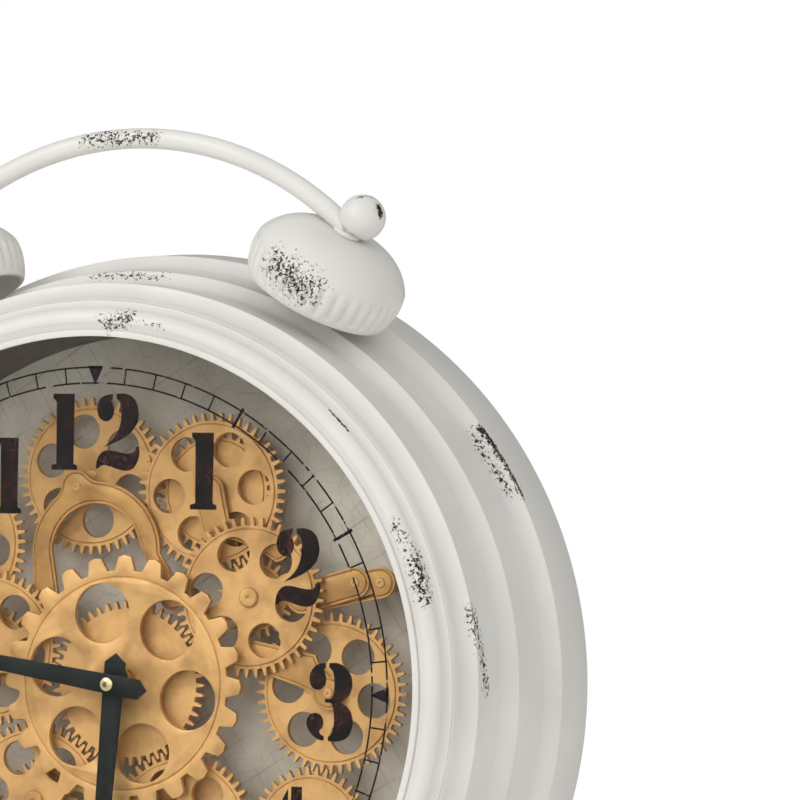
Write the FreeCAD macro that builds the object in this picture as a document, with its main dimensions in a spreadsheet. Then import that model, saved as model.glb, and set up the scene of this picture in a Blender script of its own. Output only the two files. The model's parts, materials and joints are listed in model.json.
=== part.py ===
"""Twin-bell table clock with a skeleton gear train behind a printed glass.

Depths run from the rear face of the glass (zero) to the back of the case, along +Y.
Places on the dial are x to the right and z up from the hand axis, seen from the front.
"""
import FreeCAD
import Part
import Sketcher
import math
import os
import re

# Driving sizes, in millimetres and degrees

SIZES = {
    # the whole clock
    "axis_height": 220.0,
    "case_back": 91.0,
    "bezel_front": 6.5,
    "gap": 0.3,
    "running_play": 0.05,
    "overrun": 5.0,
    # stepped case shell
    "case_radius": 171.0,
    "case_wall": 1.5,
    "ring_radius": 148.0,
    "ring_front": 1.0,
    "first_step_radius": 154.25,
    "first_step_depth": 2.7,
    "first_wall_radius": 155.6,
    "first_wall_depth": 20.0,
    "second_step_radius": 160.4,
    "second_step_depth": 33.2,
    "second_wall_radius": 163.8,
    "second_wall_depth": 52.0,
    "third_step_radius": 168.2,
    "third_step_depth": 66.4,
    "step_edge_rise": 1.25,
    "step_edge_run": 1.65,
    "front_cove_radius": 30.0,
    "rear_cove_radius": 40.0,
    "ledge_radius": 158.0,
    "ledge_depth": 86.0,
    "ledge_thickness": 1.4,
    # bezel ring
    "bezel_lip_radius": 133.8,
    "bezel_lip_front": 5.5,
    "bezel_lip_width": 2.4,
    "bezel_groove_depth": 1.5,
    "bezel_swell_start": 139.2,
    "bezel_swell_end": 144.7,
    "bezel_swell_radius": 5.0,
    "bezel_foot_radius": 146.8,
    "bezel_flange": 2.3,
    "bezel_flange_depth": 2.2,
    "bezel_flange_thickness": 1.5,
    # glass, gasket, inner wall and dial plate
    "glass_radius": 139.0,
    "glass_thickness": 3.0,
    "gasket_thickness": 0.8,
    "gasket_width": 4.6,
    "liner_radius": 138.5,
    "liner_wall": 1.5,
    "plate_depth": 60.0,
    "plate_radius": 145.0,
    "plate_thickness": 2.0,
    # brackets that carry the dial plate in the case
    "bracket_count": 4,
    "bracket_width": 16.0,
    "bracket_sheet": 1.5,
    "bracket_reach": 17.0,
    "bracket_upstand": 16.0,
    "bracket_screw_inset": 6.0,
    "bracket_start_bearing": 45.0,
    "small_head_radius": 3.2,
    "small_head_height": 1.8,
    # back cover
    "cover_thickness": 1.2,
    "window_radius": 42.0,
    "cover_screw_count": 6,
    "cover_screw_inset": 5.5,
    # bells, posts, finials
    "bell_bearing": 27.0,
    "bell_depth": 36.5,
    "bell_top": 196.3,
    "right_lean": 12.0,
    "left_lean": 0.0,
    "bell_flat_radius": 11.0,
    "bell_round": 22.0,
    "bell_shoulder_radius": 30.9,
    "bell_shoulder_drop": 12.5,
    "bell_rim_radius": 28.6,
    "bell_height": 28.4,
    "bell_wall": 1.6,
    "bell_dish_radius": 23.0,
    "bell_dish_drop": 6.5,
    "bell_waist_drop": 16.0,
    "stud_radius": 3.0,
    "post_radius": 5.5,
    "ball_radius": 8.9,
    "ball_centre": 204.8,
    "stud_in_ball": 6.0,
    "nut_across": 10.0,
    "nut_thickness": 5.0,
    "stud_inside": 10.0,
    "nut_relief": 1.0,
    # carry handle
    "handle_tube_radius": 4.0,
    "handle_arc_radius": 126.5,
    "handle_arc_height": 86.7,
    "handle_half_angle": 38.5,
    "eye_thickness": 2.0,
    "eye_radius": 8.5,
    "eye_tab": 15.0,
    "eye_tab_share": 0.6,
    # legs and pads
    "front_leg_bearing": 152.0,
    "front_leg_depth": 40.0,
    "rear_leg_depth": 76.0,
    "leg_flange_radius": 10.0,
    "leg_flange_height": 3.0,
    "leg_neck_radius": 5.0,
    "leg_knee_radius": 8.0,
    "foot_ball_radius": 13.0,
    "foot_cut": 9.5,
    "pad_radius": 8.0,
    "pad_thickness": 3.0,
    # gear train
    "tooth_size": 1.25,
    "tooth_depth": 2.2,
    "mesh_play": 0.05,
    "gear_thickness": 2.5,
    "layer_one_depth": 31.2,
    "layer_two_depth": 36.5,
    "layer_three_depth": 43.0,
    "layer_four_depth": 47.5,
    "gear_hub_radius": 5.0,
    "gear_hole_radius": 6.8,
    "gear_hole_circle": 17.9,
    "large_teeth": 48,
    "small_teeth": 24,
    "middle_teeth": 38,
    "five_rear_teeth": 44,
    "centre_fine_teeth": 50,
    "motor_teeth": 16,
    "two_bearing": 55.6,
    "one_bearing": 334.5,
    "twelve_bearing": 275.8,
    "five_bearing": 157.0,
    "four_bearing": 88.2,
    "three_bearing": 8.2,
    "eight_bearing": 219.5,
    "seven_bearing": 240.0,
    "motor_bearing": 0.0,
    "ten_bearing": 281.5,
    "eleven_bearing": 334.9,
    "coarse_teeth": 24,
    "coarse_tip_radius": 50.0,
    "coarse_root_radius": 44.0,
    "coarse_tip_share": 0.16,
    "coarse_root_share": 0.30,
    "coarse_hole_radius": 11.7,
    "coarse_hole_circle": 28.4,
    "coarse_hole_bearing": 41.6,
    "coarse_holes": 6,
    # axles, pillars, bridge plates
    "pin_radius": 2.5,
    "axle_head_radius": 3.9,
    "axle_head_height": 2.6,
    "head_crown_share": 0.7,
    "pillar_radius": 4.5,
    "bridge_depth": 39.8,
    "bridge_thickness": 1.5,
    "bridge_pillar_radius": 3.5,
    "yoke_x": -16.5,
    "yoke_z": 57.9,
    "yoke_outer_radius": 26.0,
    "yoke_inner_radius": 15.0,
    "ear_radius": 7.0,
    "yoke_foot_z": 20.0,
    "yoke_foot_width": 9.0,
    "yoke_foot_spread": 16.0,
    "arm_width": 13.0,
    "arm_one_foot_x": 15.0,
    "arm_one_foot_z": 40.0,
    "arm_three_foot_x": 46.0,
    "arm_three_foot_z": -16.0,
    "link_width": 14.0,
    "link_one_x": 90.0,
    "link_one_z": 44.1,
    "link_two_x": 101.0,
    "link_two_z": 43.4,
    "link_far_x": 116.0,
    "link_far_z": 18.0,
    "link_top_x": 104.0,
    "link_top_z": 74.0,
    # centre works
    "sleeve_radius": 6.0,
    "sleeve_shoulder_radius": 9.0,
    "bush_radius": 4.0,
    "bush_bore": 3.0,
    "bush_front": 26.5,
    "nut_front": 26.5,
    "centre_nut_across": 12.0,
    "centre_nut_thickness": 2.5,
    "hour_pipe_bore": 1.7,
    "hour_hand_depth": 22.6,
    "minute_hand_depth": 18.6,
    "hand_thickness": 0.8,
    "hand_hub_radius": 6.0,
    "hour_length": 72.0,
    "hour_width": 8.8,
    "hour_tip_width": 6.0,
    "hour_tail": 12.0,
    "minute_length": 104.0,
    "minute_width": 7.7,
    "minute_tip_width": 4.4,
    "minute_tail": 16.0,
    "hand_point": 6.0,
    "tail_point": 3.6,
    "hour_rest_angle": 184.0,
    "minute_rest_angle": 278.5,
    "hand_nut_radius": 2.6,
    "nut_crown_share": 0.72,
    "hand_nut_front": 13.4,
    # movement behind the dial plate
    "movement_side": 56.0,
    "movement_thickness": 16.0,
    "knob_offset": 9.0,
    "knob_radius": 8.0,
    "knob_height": 6.0,
    "knob_pin_radius": 2.0,
    "cell_radius": 7.0,
    "cell_length": 50.0,
    "cell_inset": 12.0,
    # gear motor
    "motor_radius": 12.0,
    "motor_length": 22.0,
    "motor_shaft_radius": 1.5,
    "motor_bearing_depth": 8.0,
    # battery box and lid
    "box_width": 64.0,
    "box_height": 34.0,
    "box_depth": 20.0,
    "box_wall": 1.5,
    "box_drop": 98.0,
    "contact_thickness": 0.6,
    "contact_height": 10.0,
    "lid_width": 68.0,
    "lid_height": 38.0,
    "lid_thickness": 1.4,
    "rail_width": 3.0,
    "rail_lip": 1.8,
    "rail_lip_thickness": 0.5,
    # slide switch
    "switch_x": 62.0,
    "switch_drop": 98.0,
    "switch_width": 20.0,
    "switch_height": 10.0,
    "switch_body_depth": 8.0,
    "slot_length": 11.0,
    "slot_width": 5.0,
    "slider_length": 5.0,
    "slider_width": 4.0,
    "slider_rise": 1.9,
}

FRONT_HOLES = {"gear_two": 6, "gear_three": 5, "gear_one": 4, "gear_twelve": 4}

doc = FreeCAD.newDocument("TableClock")
sheet = doc.addObject("Spreadsheet::Sheet", "Sizes")
for row, (name, size) in enumerate(SIZES.items(), start=1):
    sheet.set(f"A{row}", name)
    sheet.set(f"B{row}", str(size))
    sheet.setAlias(f"B{row}", name)
doc.recompute()

NODES = []


def bound(text):
    """Give an expression in size names the form that the document's objects read."""
    return re.sub(r"[a-z][a-z_]+", lambda word: f"Sizes.{word[0]}" if word[0] in SIZES else word[0], text)


def amount(text):
    """Work out an expression in size names."""
    return float(sheet.evalExpression(bound(text)))


# Places that pieces share, as expressions in the sizes

DIAL_Y = "(bezel_front - case_back) / 2"
PLATE_BACK = "(plate_depth + plate_thickness)"
BRIDGE_BACK = "(bridge_depth + bridge_thickness)"
COVER_FRONT = "(ledge_depth + ledge_thickness)"
COVER_BACK = f"({COVER_FRONT} + cover_thickness)"
SHAFT_BORE = "(pin_radius + running_play)"


class Spot:
    """A place on the dial, held as two expressions."""

    def __init__(self, x, z):
        self.x = x
        self.z = z

    def out(self, distance, bearing):
        """The place at a distance along a bearing that runs clockwise from twelve."""
        return Spot(f"{self.x} + ({distance}) * sin({bearing})", f"{self.z} + ({distance}) * cos({bearing})")

    def numbers(self):
        """Both coordinates as numbers."""
        return amount(self.x), amount(self.z)


CENTRE = Spot("0", "0")


def node(piece, label):
    """Name a sub-part and keep it for export."""
    piece.Label = label
    NODES.append(piece)
    return piece


def seat(piece, spot, depth="0"):
    """Tie a piece's place to the dial axis and the depth scale."""
    piece.setExpression("Placement.Base.x", bound(spot.x))
    piece.setExpression("Placement.Base.y", bound(f"{DIAL_Y} + {depth}"))
    piece.setExpression("Placement.Base.z", bound(f"axis_height + {spot.z}"))
    return piece


def origin_plane(body, role):
    """One of a body's own origin planes."""
    return next(item for item in body.Origin.OriginFeatures if item.Role == role)


def sketch_on(body, role, name, offset=None):
    """A sketch on one of the body's origin planes, moved by an offset placement."""
    sketch = body.newObject("Sketcher::SketchObject", name)
    sketch.AttachmentSupport = [(origin_plane(body, role), "")]
    sketch.MapMode = "FlatFace"
    if offset is not None:
        sketch.AttachmentOffset = offset
    return sketch


def pin_point(sketch, index, end, x, y):
    """Tie a point of the sketch to two expressions."""
    for axis, kind, text in ((-2, "DistanceX", x), (-1, "DistanceY", y)):
        if text == "0":
            sketch.addConstraint(Sketcher.Constraint("PointOnObject", index, end, axis))
            continue
        made = sketch.addConstraint(Sketcher.Constraint(kind, -1, 1, index, end, amount(text)))
        sketch.setExpression(f"Constraints[{made}]", bound(text))


def arc_between(start, end, radius):
    """A short arc; a positive radius has its centre on the left of the way from start to end."""
    middle = (start + end) / 2
    chord = end - start
    left = FreeCAD.Vector(-chord.y, chord.x, 0) / chord.Length
    reach = math.sqrt(max(radius * radius - chord.Length ** 2 / 4, 0))
    side = math.copysign(1, radius)
    centre = middle + left * reach * side
    first, last = (start, end) if radius > 0 else (end, start)
    turn = [math.atan2(point.y - centre.y, point.x - centre.x) for point in (first, last)]
    return Part.ArcOfCircle(Part.Circle(centre, FreeCAD.Vector(0, 0, 1), abs(radius)), turn[0], turn[1])


def outline(sketch, points):
    """Draw a closed outline; a third entry of a point is the radius of the arc that leaves it."""
    places = [FreeCAD.Vector(amount(point[0]), amount(point[1]), 0) for point in points]
    ends = []
    first = sketch.GeometryCount
    for index, point in enumerate(points):
        start, end = places[index], places[(index + 1) % len(places)]
        if len(point) == 3:
            radius = amount(point[2])
            sketch.addGeometry(arc_between(start, end, radius))
            ends.append((1, 2) if radius > 0 else (2, 1))
        else:
            sketch.addGeometry(Part.LineSegment(start, end))
            ends.append((1, 2))
    for index, point in enumerate(points):
        after = (index + 1) % len(points)
        joint = (first + index, ends[index][1], first + after, ends[after][0])
        sketch.addConstraint(Sketcher.Constraint("Coincident", *joint))
        pin_point(sketch, first + index, ends[index][0], point[0], point[1])
        if len(point) == 3:
            size = abs(amount(point[2]))
            made = sketch.addConstraint(Sketcher.Constraint("Radius", first + index, size))
            sketch.setExpression(f"Constraints[{made}]", bound(f"abs({point[2]})"))


def ring(sketch, x, y, radius):
    """Draw a circle whose centre and radius are expressions."""
    centre = FreeCAD.Vector(amount(x), amount(y), 0)
    index = sketch.addGeometry(Part.Circle(centre, FreeCAD.Vector(0, 0, 1), amount(radius)))
    pin_point(sketch, index, 3, x, y)
    made = sketch.addConstraint(Sketcher.Constraint("Radius", index, amount(radius)))
    sketch.setExpression(f"Constraints[{made}]", bound(radius))


def new_body(label):
    """A body named for the piece."""
    return doc.addObject("PartDesign::Body", "".join(word.title() for word in label.split("_")))


def turned(label, points, spot=CENTRE, depth="0"):
    """A piece turned about the Y axis; points are radius and depth."""
    body = new_body(label)
    sketch = sketch_on(body, "XY_Plane", "Profile")
    outline(sketch, points)
    turn = body.newObject("PartDesign::Revolution", "Turning")
    turn.Profile = sketch
    turn.ReferenceAxis = (sketch, ["V_Axis"])
    turn.Angle = 360
    seat(body, spot, depth)
    return body


def flat(label, points, holes, thickness, spot, depth):
    """A flat plate that faces the viewer, with round holes as x, z and radius."""
    body = new_body(label)
    sketch = sketch_on(body, "XZ_Plane", "Outline")
    if points:
        outline(sketch, points)
    for x, z, radius in holes:
        ring(sketch, x, z, radius)
    pad = body.newObject("PartDesign::Pad", "Sheet")
    pad.Profile = sketch
    pad.Reversed = True
    pad.setExpression("Length", bound(thickness))
    seat(body, spot, depth)
    return body


def boss(body, radius, bore, start, length, name="Boss"):
    """Add a round boss behind the body's front face."""
    sketch = sketch_on(body, "XZ_Plane", f"{name}Outline")
    sketch.setExpression("AttachmentOffset.Base.z", bound(f"-({start})"))
    ring(sketch, "0", "0", radius)
    if bore is not None:
        ring(sketch, "0", "0", bore)
    pad = body.newObject("PartDesign::Pad", name)
    pad.Profile = sketch
    pad.Reversed = True
    pad.setExpression("Length", bound(length))


def ear(body, spot, radius, bore, thickness):
    """Add a round ear to a plate that is centred on the dial axis, and bore it."""
    sketch = sketch_on(body, "XZ_Plane", "EarOutline")
    ring(sketch, spot.x, spot.z, radius)
    pad = body.newObject("PartDesign::Pad", "Ear")
    pad.Profile = sketch
    pad.Reversed = True
    pad.setExpression("Length", bound(thickness))
    hole = sketch_on(body, "XZ_Plane", "EarHoleOutline")
    ring(hole, spot.x, spot.z, bore)
    pocket = body.newObject("PartDesign::Pocket", "EarHole")
    pocket.Profile = hole
    pocket.Midplane = True
    pocket.setExpression("Length", bound(f"{thickness} * 2 + overrun"))


def ring_of_holes(body, x, z, radius, count):
    """Cut a circle of round holes through the body's front."""
    sketch = sketch_on(body, "XZ_Plane", "HoleOutline")
    ring(sketch, x, z, radius)
    pocket = body.newObject("PartDesign::Pocket", "Hole")
    pocket.Profile = sketch
    pocket.Midplane = True
    pocket.setExpression("Length", bound("gear_thickness * 2 + overrun * 4"))
    pattern = body.newObject("PartDesign::PolarPattern", "Holes")
    pattern.Originals = [pocket]
    pattern.Axis = (sketch, ["N_Axis"])
    pattern.Angle = 360
    pattern.Occurrences = count
    body.Tip = pattern


def around(body, feature, sketch, axis, count, start=None):
    """Repeat a body's feature around an axis as separate solids."""
    body.AllowCompound = True
    pattern = body.newObject("PartDesign::PolarPattern", "Around")
    pattern.Originals = [feature]
    pattern.Axis = (sketch, [axis])
    pattern.Angle = 360
    pattern.setExpression("Occurrences", bound(count))
    body.Tip = pattern
    if start is not None:
        body.Placement.Rotation = FreeCAD.Rotation(FreeCAD.Vector(0, 1, 0), amount(start))


def group(label, members):
    """One node that holds separate copies; members are a pattern body and its places."""
    links = []
    for pattern, spot, depth in members:
        link = doc.addObject("App::Link", f"{pattern.Name}Copy")
        link.LinkedObject = pattern
        link.LinkTransform = False
        seat(link, spot, depth)
        links.append(link)
    compound = doc.addObject("Part::Compound", "".join(word.title() for word in label.split("_")))
    compound.Links = links
    return node(compound, label)


def block(label, width, depth, height, x, y, z):
    """A box with every size and its low corner bound; y is on the depth scale."""
    box = doc.addObject("Part::Box", label)
    box.setExpression("Length", bound(width))
    box.setExpression("Width", bound(depth))
    box.setExpression("Height", bound(height))
    return seat(box, Spot(x, z), y)


def cut(label, base, tool):
    """What is left of one shape when another is taken away."""
    made = doc.addObject("Part::Cut", label)
    made.Base = base
    made.Tool = tool
    return made


def joined(label, pieces):
    """Several shapes fused into one."""
    made = doc.addObject("Part::MultiFuse", label)
    made.Shapes = pieces
    return made


def rod(label, radius, length, spot, depth):
    """A cylinder that points backwards along the depth scale."""
    made = doc.addObject("Part::Cylinder", label)
    made.setExpression("Radius", bound(radius))
    made.setExpression("Height", bound(length))
    made.Placement.Rotation = FreeCAD.Rotation(FreeCAD.Vector(1, 0, 0), -90)
    return seat(made, spot, depth)


# Case shell


def radial_turn(bearing, lean):
    """The turn that sends a piece's own Y axis outwards along a bearing, leaning to the front by lean."""
    upright = FreeCAD.Rotation(FreeCAD.Vector(1, 0, 0), 90 + lean)
    return FreeCAD.Rotation(FreeCAD.Vector(0, 1, 0), bearing) * upright


class Stud:
    """A line out of the case: its bearing, its lean to the front and the depth where the lean starts."""

    def __init__(self, bearing, lean, depth, pivot):
        self.bearing = bearing
        self.lean = lean
        self.depth = depth
        self.pivot = pivot

    def turn(self):
        """The stud's turn as a rotation."""
        return radial_turn(amount(self.bearing), amount(self.lean))

    def spot(self):
        """The place on the dial where the stud's own origin lies."""
        return CENTRE.out(self.pivot, self.bearing)

    def place(self, piece):
        """Seat a piece that was made along its own Y axis, with its origin at the pivot."""
        piece.Placement.Rotation = self.turn()
        return seat(piece, self.spot(), self.depth)

    def drill(self, body, radius, start, length, name):
        """Cut a round hole along the stud through a body that is centred on the dial axis."""
        x, z = self.spot().numbers()
        outward = self.turn() * FreeCAD.Rotation(FreeCAD.Vector(1, 0, 0), -90)
        base = FreeCAD.Vector(x, amount(self.depth), z) + outward.multVec(FreeCAD.Vector(0, 0, amount(start)))
        sketch = sketch_on(body, "XY_Plane", f"{name}Outline", FreeCAD.Placement(base, outward))
        ring(sketch, "0", "0", radius)
        pocket = body.newObject("PartDesign::Pocket", name)
        pocket.Profile = sketch
        pocket.Reversed = True
        pocket.setExpression("Length", bound(length))


def rear_wall(depth):
    """The case's inner radius behind its last step."""
    taper = "(case_radius - third_step_radius) / (case_back - third_step_depth)"
    return f"(case_radius - case_wall - (case_back - {depth}) * {taper})"


RIGHT_STUD = Stud("bell_bearing", "right_lean", "bell_depth", "bell_top")
LEFT_STUD = Stud("-bell_bearing", "left_lean", "bell_depth", "bell_top")
LEG_SEAT = "(second_step_radius + leg_flange_height)"
RIGHT_LEG = Stud("front_leg_bearing", "0", "front_leg_depth", LEG_SEAT)
LEFT_LEG = Stud("-front_leg_bearing", "0", "front_leg_depth", LEG_SEAT)
REAR_SEAT = "(case_radius + gap)"
REAR_LEG = Stud("180", "0", "rear_leg_depth", REAR_SEAT)

case = turned("case_shell", [
    ("ring_radius", "-ring_front"),
    ("first_step_radius - step_edge_rise / 2", "0"),
    ("first_step_radius", "first_step_depth"),
    ("first_wall_radius", "first_wall_depth", "-front_cove_radius"),
    ("second_step_radius - step_edge_rise", "second_step_depth - step_edge_run"),
    ("second_step_radius", "second_step_depth"),
    ("second_wall_radius", "second_wall_depth", "-rear_cove_radius"),
    ("third_step_radius - step_edge_rise", "third_step_depth - step_edge_run"),
    ("third_step_radius", "third_step_depth"),
    ("case_radius", "case_back"),
    ("case_radius - case_wall", "case_back"),
    (rear_wall(COVER_FRONT), COVER_FRONT),
    ("ledge_radius", COVER_FRONT),
    ("ledge_radius", "ledge_depth"),
    (rear_wall("ledge_depth"), "ledge_depth"),
    ("third_step_radius - case_wall", "third_step_depth + case_wall"),
    ("second_wall_radius - case_wall", "second_wall_depth + case_wall"),
    ("second_step_radius - case_wall", "second_step_depth + case_wall"),
    ("first_wall_radius - case_wall", "first_wall_depth + case_wall"),
    ("first_step_radius - case_wall", "first_step_depth + case_wall / 2"),
    ("ring_radius", "case_wall - ring_front"),
])
STUD_HOLE = "(stud_radius + running_play * 2)"
DRILL_START = "-(second_step_radius / 3)"
DRILL_LENGTH = "(second_step_radius / 3 + overrun)"
RIGHT_STUD.drill(case, STUD_HOLE, DRILL_START, DRILL_LENGTH, "RightStudHole")
LEFT_STUD.drill(case, STUD_HOLE, DRILL_START, DRILL_LENGTH, "LeftStudHole")
RIGHT_LEG.drill(case, STUD_HOLE, DRILL_START, DRILL_LENGTH, "RightLegHole")
LEFT_LEG.drill(case, STUD_HOLE, DRILL_START, DRILL_LENGTH, "LeftLegHole")
REAR_LEG.drill(case, STUD_HOLE, "-(overrun * 2)", "overrun * 3", "RearLegHole")
node(case, "case_shell")

# Bezel, gasket, glass, inner wall

BEZEL_SEAT = "-(glass_thickness + gasket_thickness)"
BEZEL_OUTER = "(ring_radius - gap)"
FLANGE_BACK = "(bezel_flange_depth + bezel_flange_thickness)"
node(turned("bezel_ring", [
    ("bezel_lip_radius", BEZEL_SEAT),
    ("bezel_lip_radius", "-bezel_lip_front"),
    ("bezel_lip_radius + bezel_lip_width", "-bezel_lip_front"),
    ("bezel_lip_radius + bezel_lip_width", "bezel_groove_depth - bezel_lip_front"),
    ("bezel_swell_start", "-bezel_front", "bezel_swell_radius"),
    ("bezel_swell_end", "bezel_groove_depth - bezel_lip_front"),
    ("bezel_foot_radius", "-ring_front"),
    (BEZEL_OUTER, "-ring_front"),
    (BEZEL_OUTER, "bezel_flange_depth"),
    (f"{BEZEL_OUTER} + bezel_flange", "bezel_flange_depth"),
    (f"{BEZEL_OUTER} + bezel_flange", FLANGE_BACK),
    ("glass_radius + gap", FLANGE_BACK),
    ("glass_radius + gap", BEZEL_SEAT),
]), "bezel_ring")


def washer(label, inner, outer, front, back):
    """A plain turned ring between two depths."""
    return turned(label, [(inner, front), (outer, front), (outer, back), (inner, back)])


node(washer("glass_gasket", "glass_radius - gasket_width", "glass_radius", BEZEL_SEAT, "-glass_thickness"),
     "glass_gasket")
node(flat("front_glass", [], [("0", "0", "glass_radius")], "glass_thickness", CENTRE, "-glass_thickness"),
     "front_glass")
node(washer("dial_liner", "liner_radius - liner_wall", "liner_radius", "0", "plate_depth"), "dial_liner")

# Places of the gears on the dial


def apart(first, second):
    """The centre distance of two meshing gears."""
    return f"({first} + {second}) * tooth_size / 2 + mesh_play"


RING = apart("centre_fine_teeth", "large_teeth")
SPOTS = {
    "centre": CENTRE,
    "two": CENTRE.out(RING, "two_bearing"),
    "five": CENTRE.out(RING, "five_bearing"),
    "eight": CENTRE.out(RING, "eight_bearing"),
    "ten": CENTRE.out(RING, "ten_bearing"),
}
SPOTS["one"] = SPOTS["two"].out(apart("small_teeth", "large_teeth"), "one_bearing")
SPOTS["twelve"] = SPOTS["one"].out(apart("middle_teeth", "large_teeth"), "twelve_bearing")
SPOTS["four"] = SPOTS["five"].out(apart("five_rear_teeth", "middle_teeth"), "four_bearing")
SPOTS["three"] = SPOTS["four"].out(apart("middle_teeth", "large_teeth"), "three_bearing")
SPOTS["seven"] = SPOTS["eight"].out(apart("small_teeth", "large_teeth"), "seven_bearing")
SPOTS["motor"] = SPOTS["seven"].out(apart("large_teeth", "motor_teeth"), "motor_bearing")
SPOTS["eleven"] = SPOTS["ten"].out(apart("small_teeth", "large_teeth"), "eleven_bearing")


def meshed(driver, driver_phase, driver_teeth, follower, follower_teeth):
    """The follower's rest angle, so that a tooth of one meets a gap of the other."""
    driver_x, driver_z = SPOTS[driver].numbers()
    x, z = SPOTS[follower].numbers()
    heading = math.atan2(z - driver_z, x - driver_x)
    share = (heading - driver_phase) * driver_teeth / math.tau % 1
    return heading + math.pi - (1 / 2 - share) * math.tau / follower_teeth


TEETH = {name: int(amount(name)) for name in SIZES if name.endswith("_teeth")}
PHASES = {"centre": 0.0}
for gear, driver, driver_teeth, teeth in (
    ("two", "centre", "centre_fine_teeth", "large_teeth"),
    ("five", "centre", "centre_fine_teeth", "large_teeth"),
    ("eight", "centre", "centre_fine_teeth", "large_teeth"),
    ("ten", "centre", "centre_fine_teeth", "large_teeth"),
    ("one", "two", "small_teeth", "large_teeth"),
    ("twelve", "one", "middle_teeth", "large_teeth"),
    ("four", "five", "five_rear_teeth", "middle_teeth"),
    ("three", "four", "middle_teeth", "large_teeth"),
    ("seven", "eight", "small_teeth", "large_teeth"),
    ("motor", "seven", "large_teeth", "motor_teeth"),
    ("eleven", "ten", "small_teeth", "large_teeth"),
):
    PHASES[gear] = meshed(driver, PHASES[driver], TEETH[driver_teeth], gear, TEETH[teeth])

# Dial plate with its brackets

SHAFT_HOLE = "(motor_shaft_radius * 2)"
node(flat("dial_plate", [], [
    ("0", "0", "plate_radius"),
    ("0", "0", "bush_radius + running_play"),
    (SPOTS["motor"].x, SPOTS["motor"].z, SHAFT_HOLE),
], "plate_thickness", CENTRE, "plate_depth"), "dial_plate")

BRACKET_OUT = f"({rear_wall(PLATE_BACK)} - case_wall - gap)"
BRACKET_IN = "(plate_radius - bracket_reach)"
brackets = new_body("plate_brackets")
bracket_sketch = sketch_on(brackets, "XY_Plane", "Profile")
outline(bracket_sketch, [
    (BRACKET_IN, PLATE_BACK),
    (BRACKET_OUT, PLATE_BACK),
    (BRACKET_OUT, f"{PLATE_BACK} + bracket_upstand"),
    (f"{BRACKET_OUT} - bracket_sheet", f"{PLATE_BACK} + bracket_upstand"),
    (f"{BRACKET_OUT} - bracket_sheet", f"{PLATE_BACK} + bracket_sheet"),
    (BRACKET_IN, f"{PLATE_BACK} + bracket_sheet"),
])
bracket = brackets.newObject("PartDesign::Pad", "Sheet")
bracket.Profile = bracket_sketch
bracket.Midplane = True
bracket.setExpression("Length", bound("bracket_width"))
around(brackets, bracket, bracket_sketch, "V_Axis", "bracket_count", "bracket_start_bearing")
node(seat(brackets, CENTRE), "plate_brackets")


def screw_ring(label, circle, seat_depth, count, start):
    """Small domed screw heads on a circle, seated on a face that looks backwards."""
    body = new_body(label)
    sketch = sketch_on(body, "XZ_Plane", "Outline")
    sketch.setExpression("AttachmentOffset.Base.z", bound(f"-({seat_depth})"))
    ring(sketch, circle, "0", "small_head_radius")
    pad = body.newObject("PartDesign::Pad", "Head")
    pad.Profile = sketch
    pad.Reversed = True
    pad.setExpression("Length", bound("small_head_height"))
    around(body, pad, sketch, "N_Axis", count, start)
    return node(seat(body, CENTRE), label)


screw_ring("plate_screws", f"{BRACKET_IN} + bracket_screw_inset", f"{PLATE_BACK} + bracket_sheet",
           "bracket_count", "bracket_start_bearing")

# Back cover with its rails, windows and screws

COVER_RADIUS = f"({rear_wall(COVER_FRONT)} - gap)"
RAIL_TOP = "(lid_height / 2)"
cover_disc = flat("cover_disc", [], [
    ("0", "0", COVER_RADIUS),
    ("0", "0", "window_radius"),
], "cover_thickness", CENTRE, COVER_FRONT)
box_window = block("BoxWindow", "box_width - box_wall * 2", "overrun * 2", "box_height - box_wall * 2",
                   "box_wall - box_width / 2", f"{COVER_FRONT} - overrun",
                   "box_wall - box_drop - box_height / 2")
switch_window = block("SwitchWindow", "slot_length", "overrun * 2", "slot_width",
                      "switch_x - slot_length / 2", f"{COVER_FRONT} - overrun",
                      "-(switch_drop + slot_width / 2)")
RAIL_SIDE = "(lid_width / 2 + gap)"
RAIL_RISE = f"(lid_thickness + running_play * 6)"
rails = []
for side, outer in (("Right", RAIL_SIDE), ("Left", f"-({RAIL_SIDE} + rail_width)")):
    rails.append(block(f"{side}Rail", "rail_width", f"{RAIL_RISE} + rail_lip_thickness", "lid_height",
                       outer, COVER_BACK, "-(box_drop + lid_height / 2)"))
for side, inner in (("Right", f"({RAIL_SIDE} - rail_lip)"), ("Left", f"-{RAIL_SIDE}")):
    rails.append(block(f"{side}RailLip", "rail_lip", "rail_lip_thickness", "lid_height",
                       inner, f"{COVER_BACK} + {RAIL_RISE}", "-(box_drop + lid_height / 2)"))
cover_pierced = cut("CoverPierced", cover_disc, joined("CoverWindows", [box_window, switch_window]))
node(joined("BackCover", [cover_pierced] + rails), "back_cover")
screw_ring("back_screws", f"{COVER_RADIUS} - cover_screw_inset", COVER_BACK, "cover_screw_count",
           "bracket_start_bearing")

# Bells, posts, finials and stud nuts


def bell(name, stud):
    """A bun-shaped bell with a flat crown, open towards the case."""
    body = turned(name, [
        (STUD_HOLE, "0"),
        ("bell_flat_radius", "0", "-bell_round"),
        ("bell_shoulder_radius", "-bell_shoulder_drop", "-bell_round"),
        ("bell_rim_radius", "-bell_height"),
        ("bell_rim_radius - bell_wall", "-bell_height"),
        ("bell_shoulder_radius - bell_wall", "-bell_waist_drop"),
        ("bell_dish_radius", "-bell_dish_drop"),
        ("bell_flat_radius", "-bell_wall"),
        (STUD_HOLE, "-bell_wall"),
    ])
    return stud.place(body)


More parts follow.
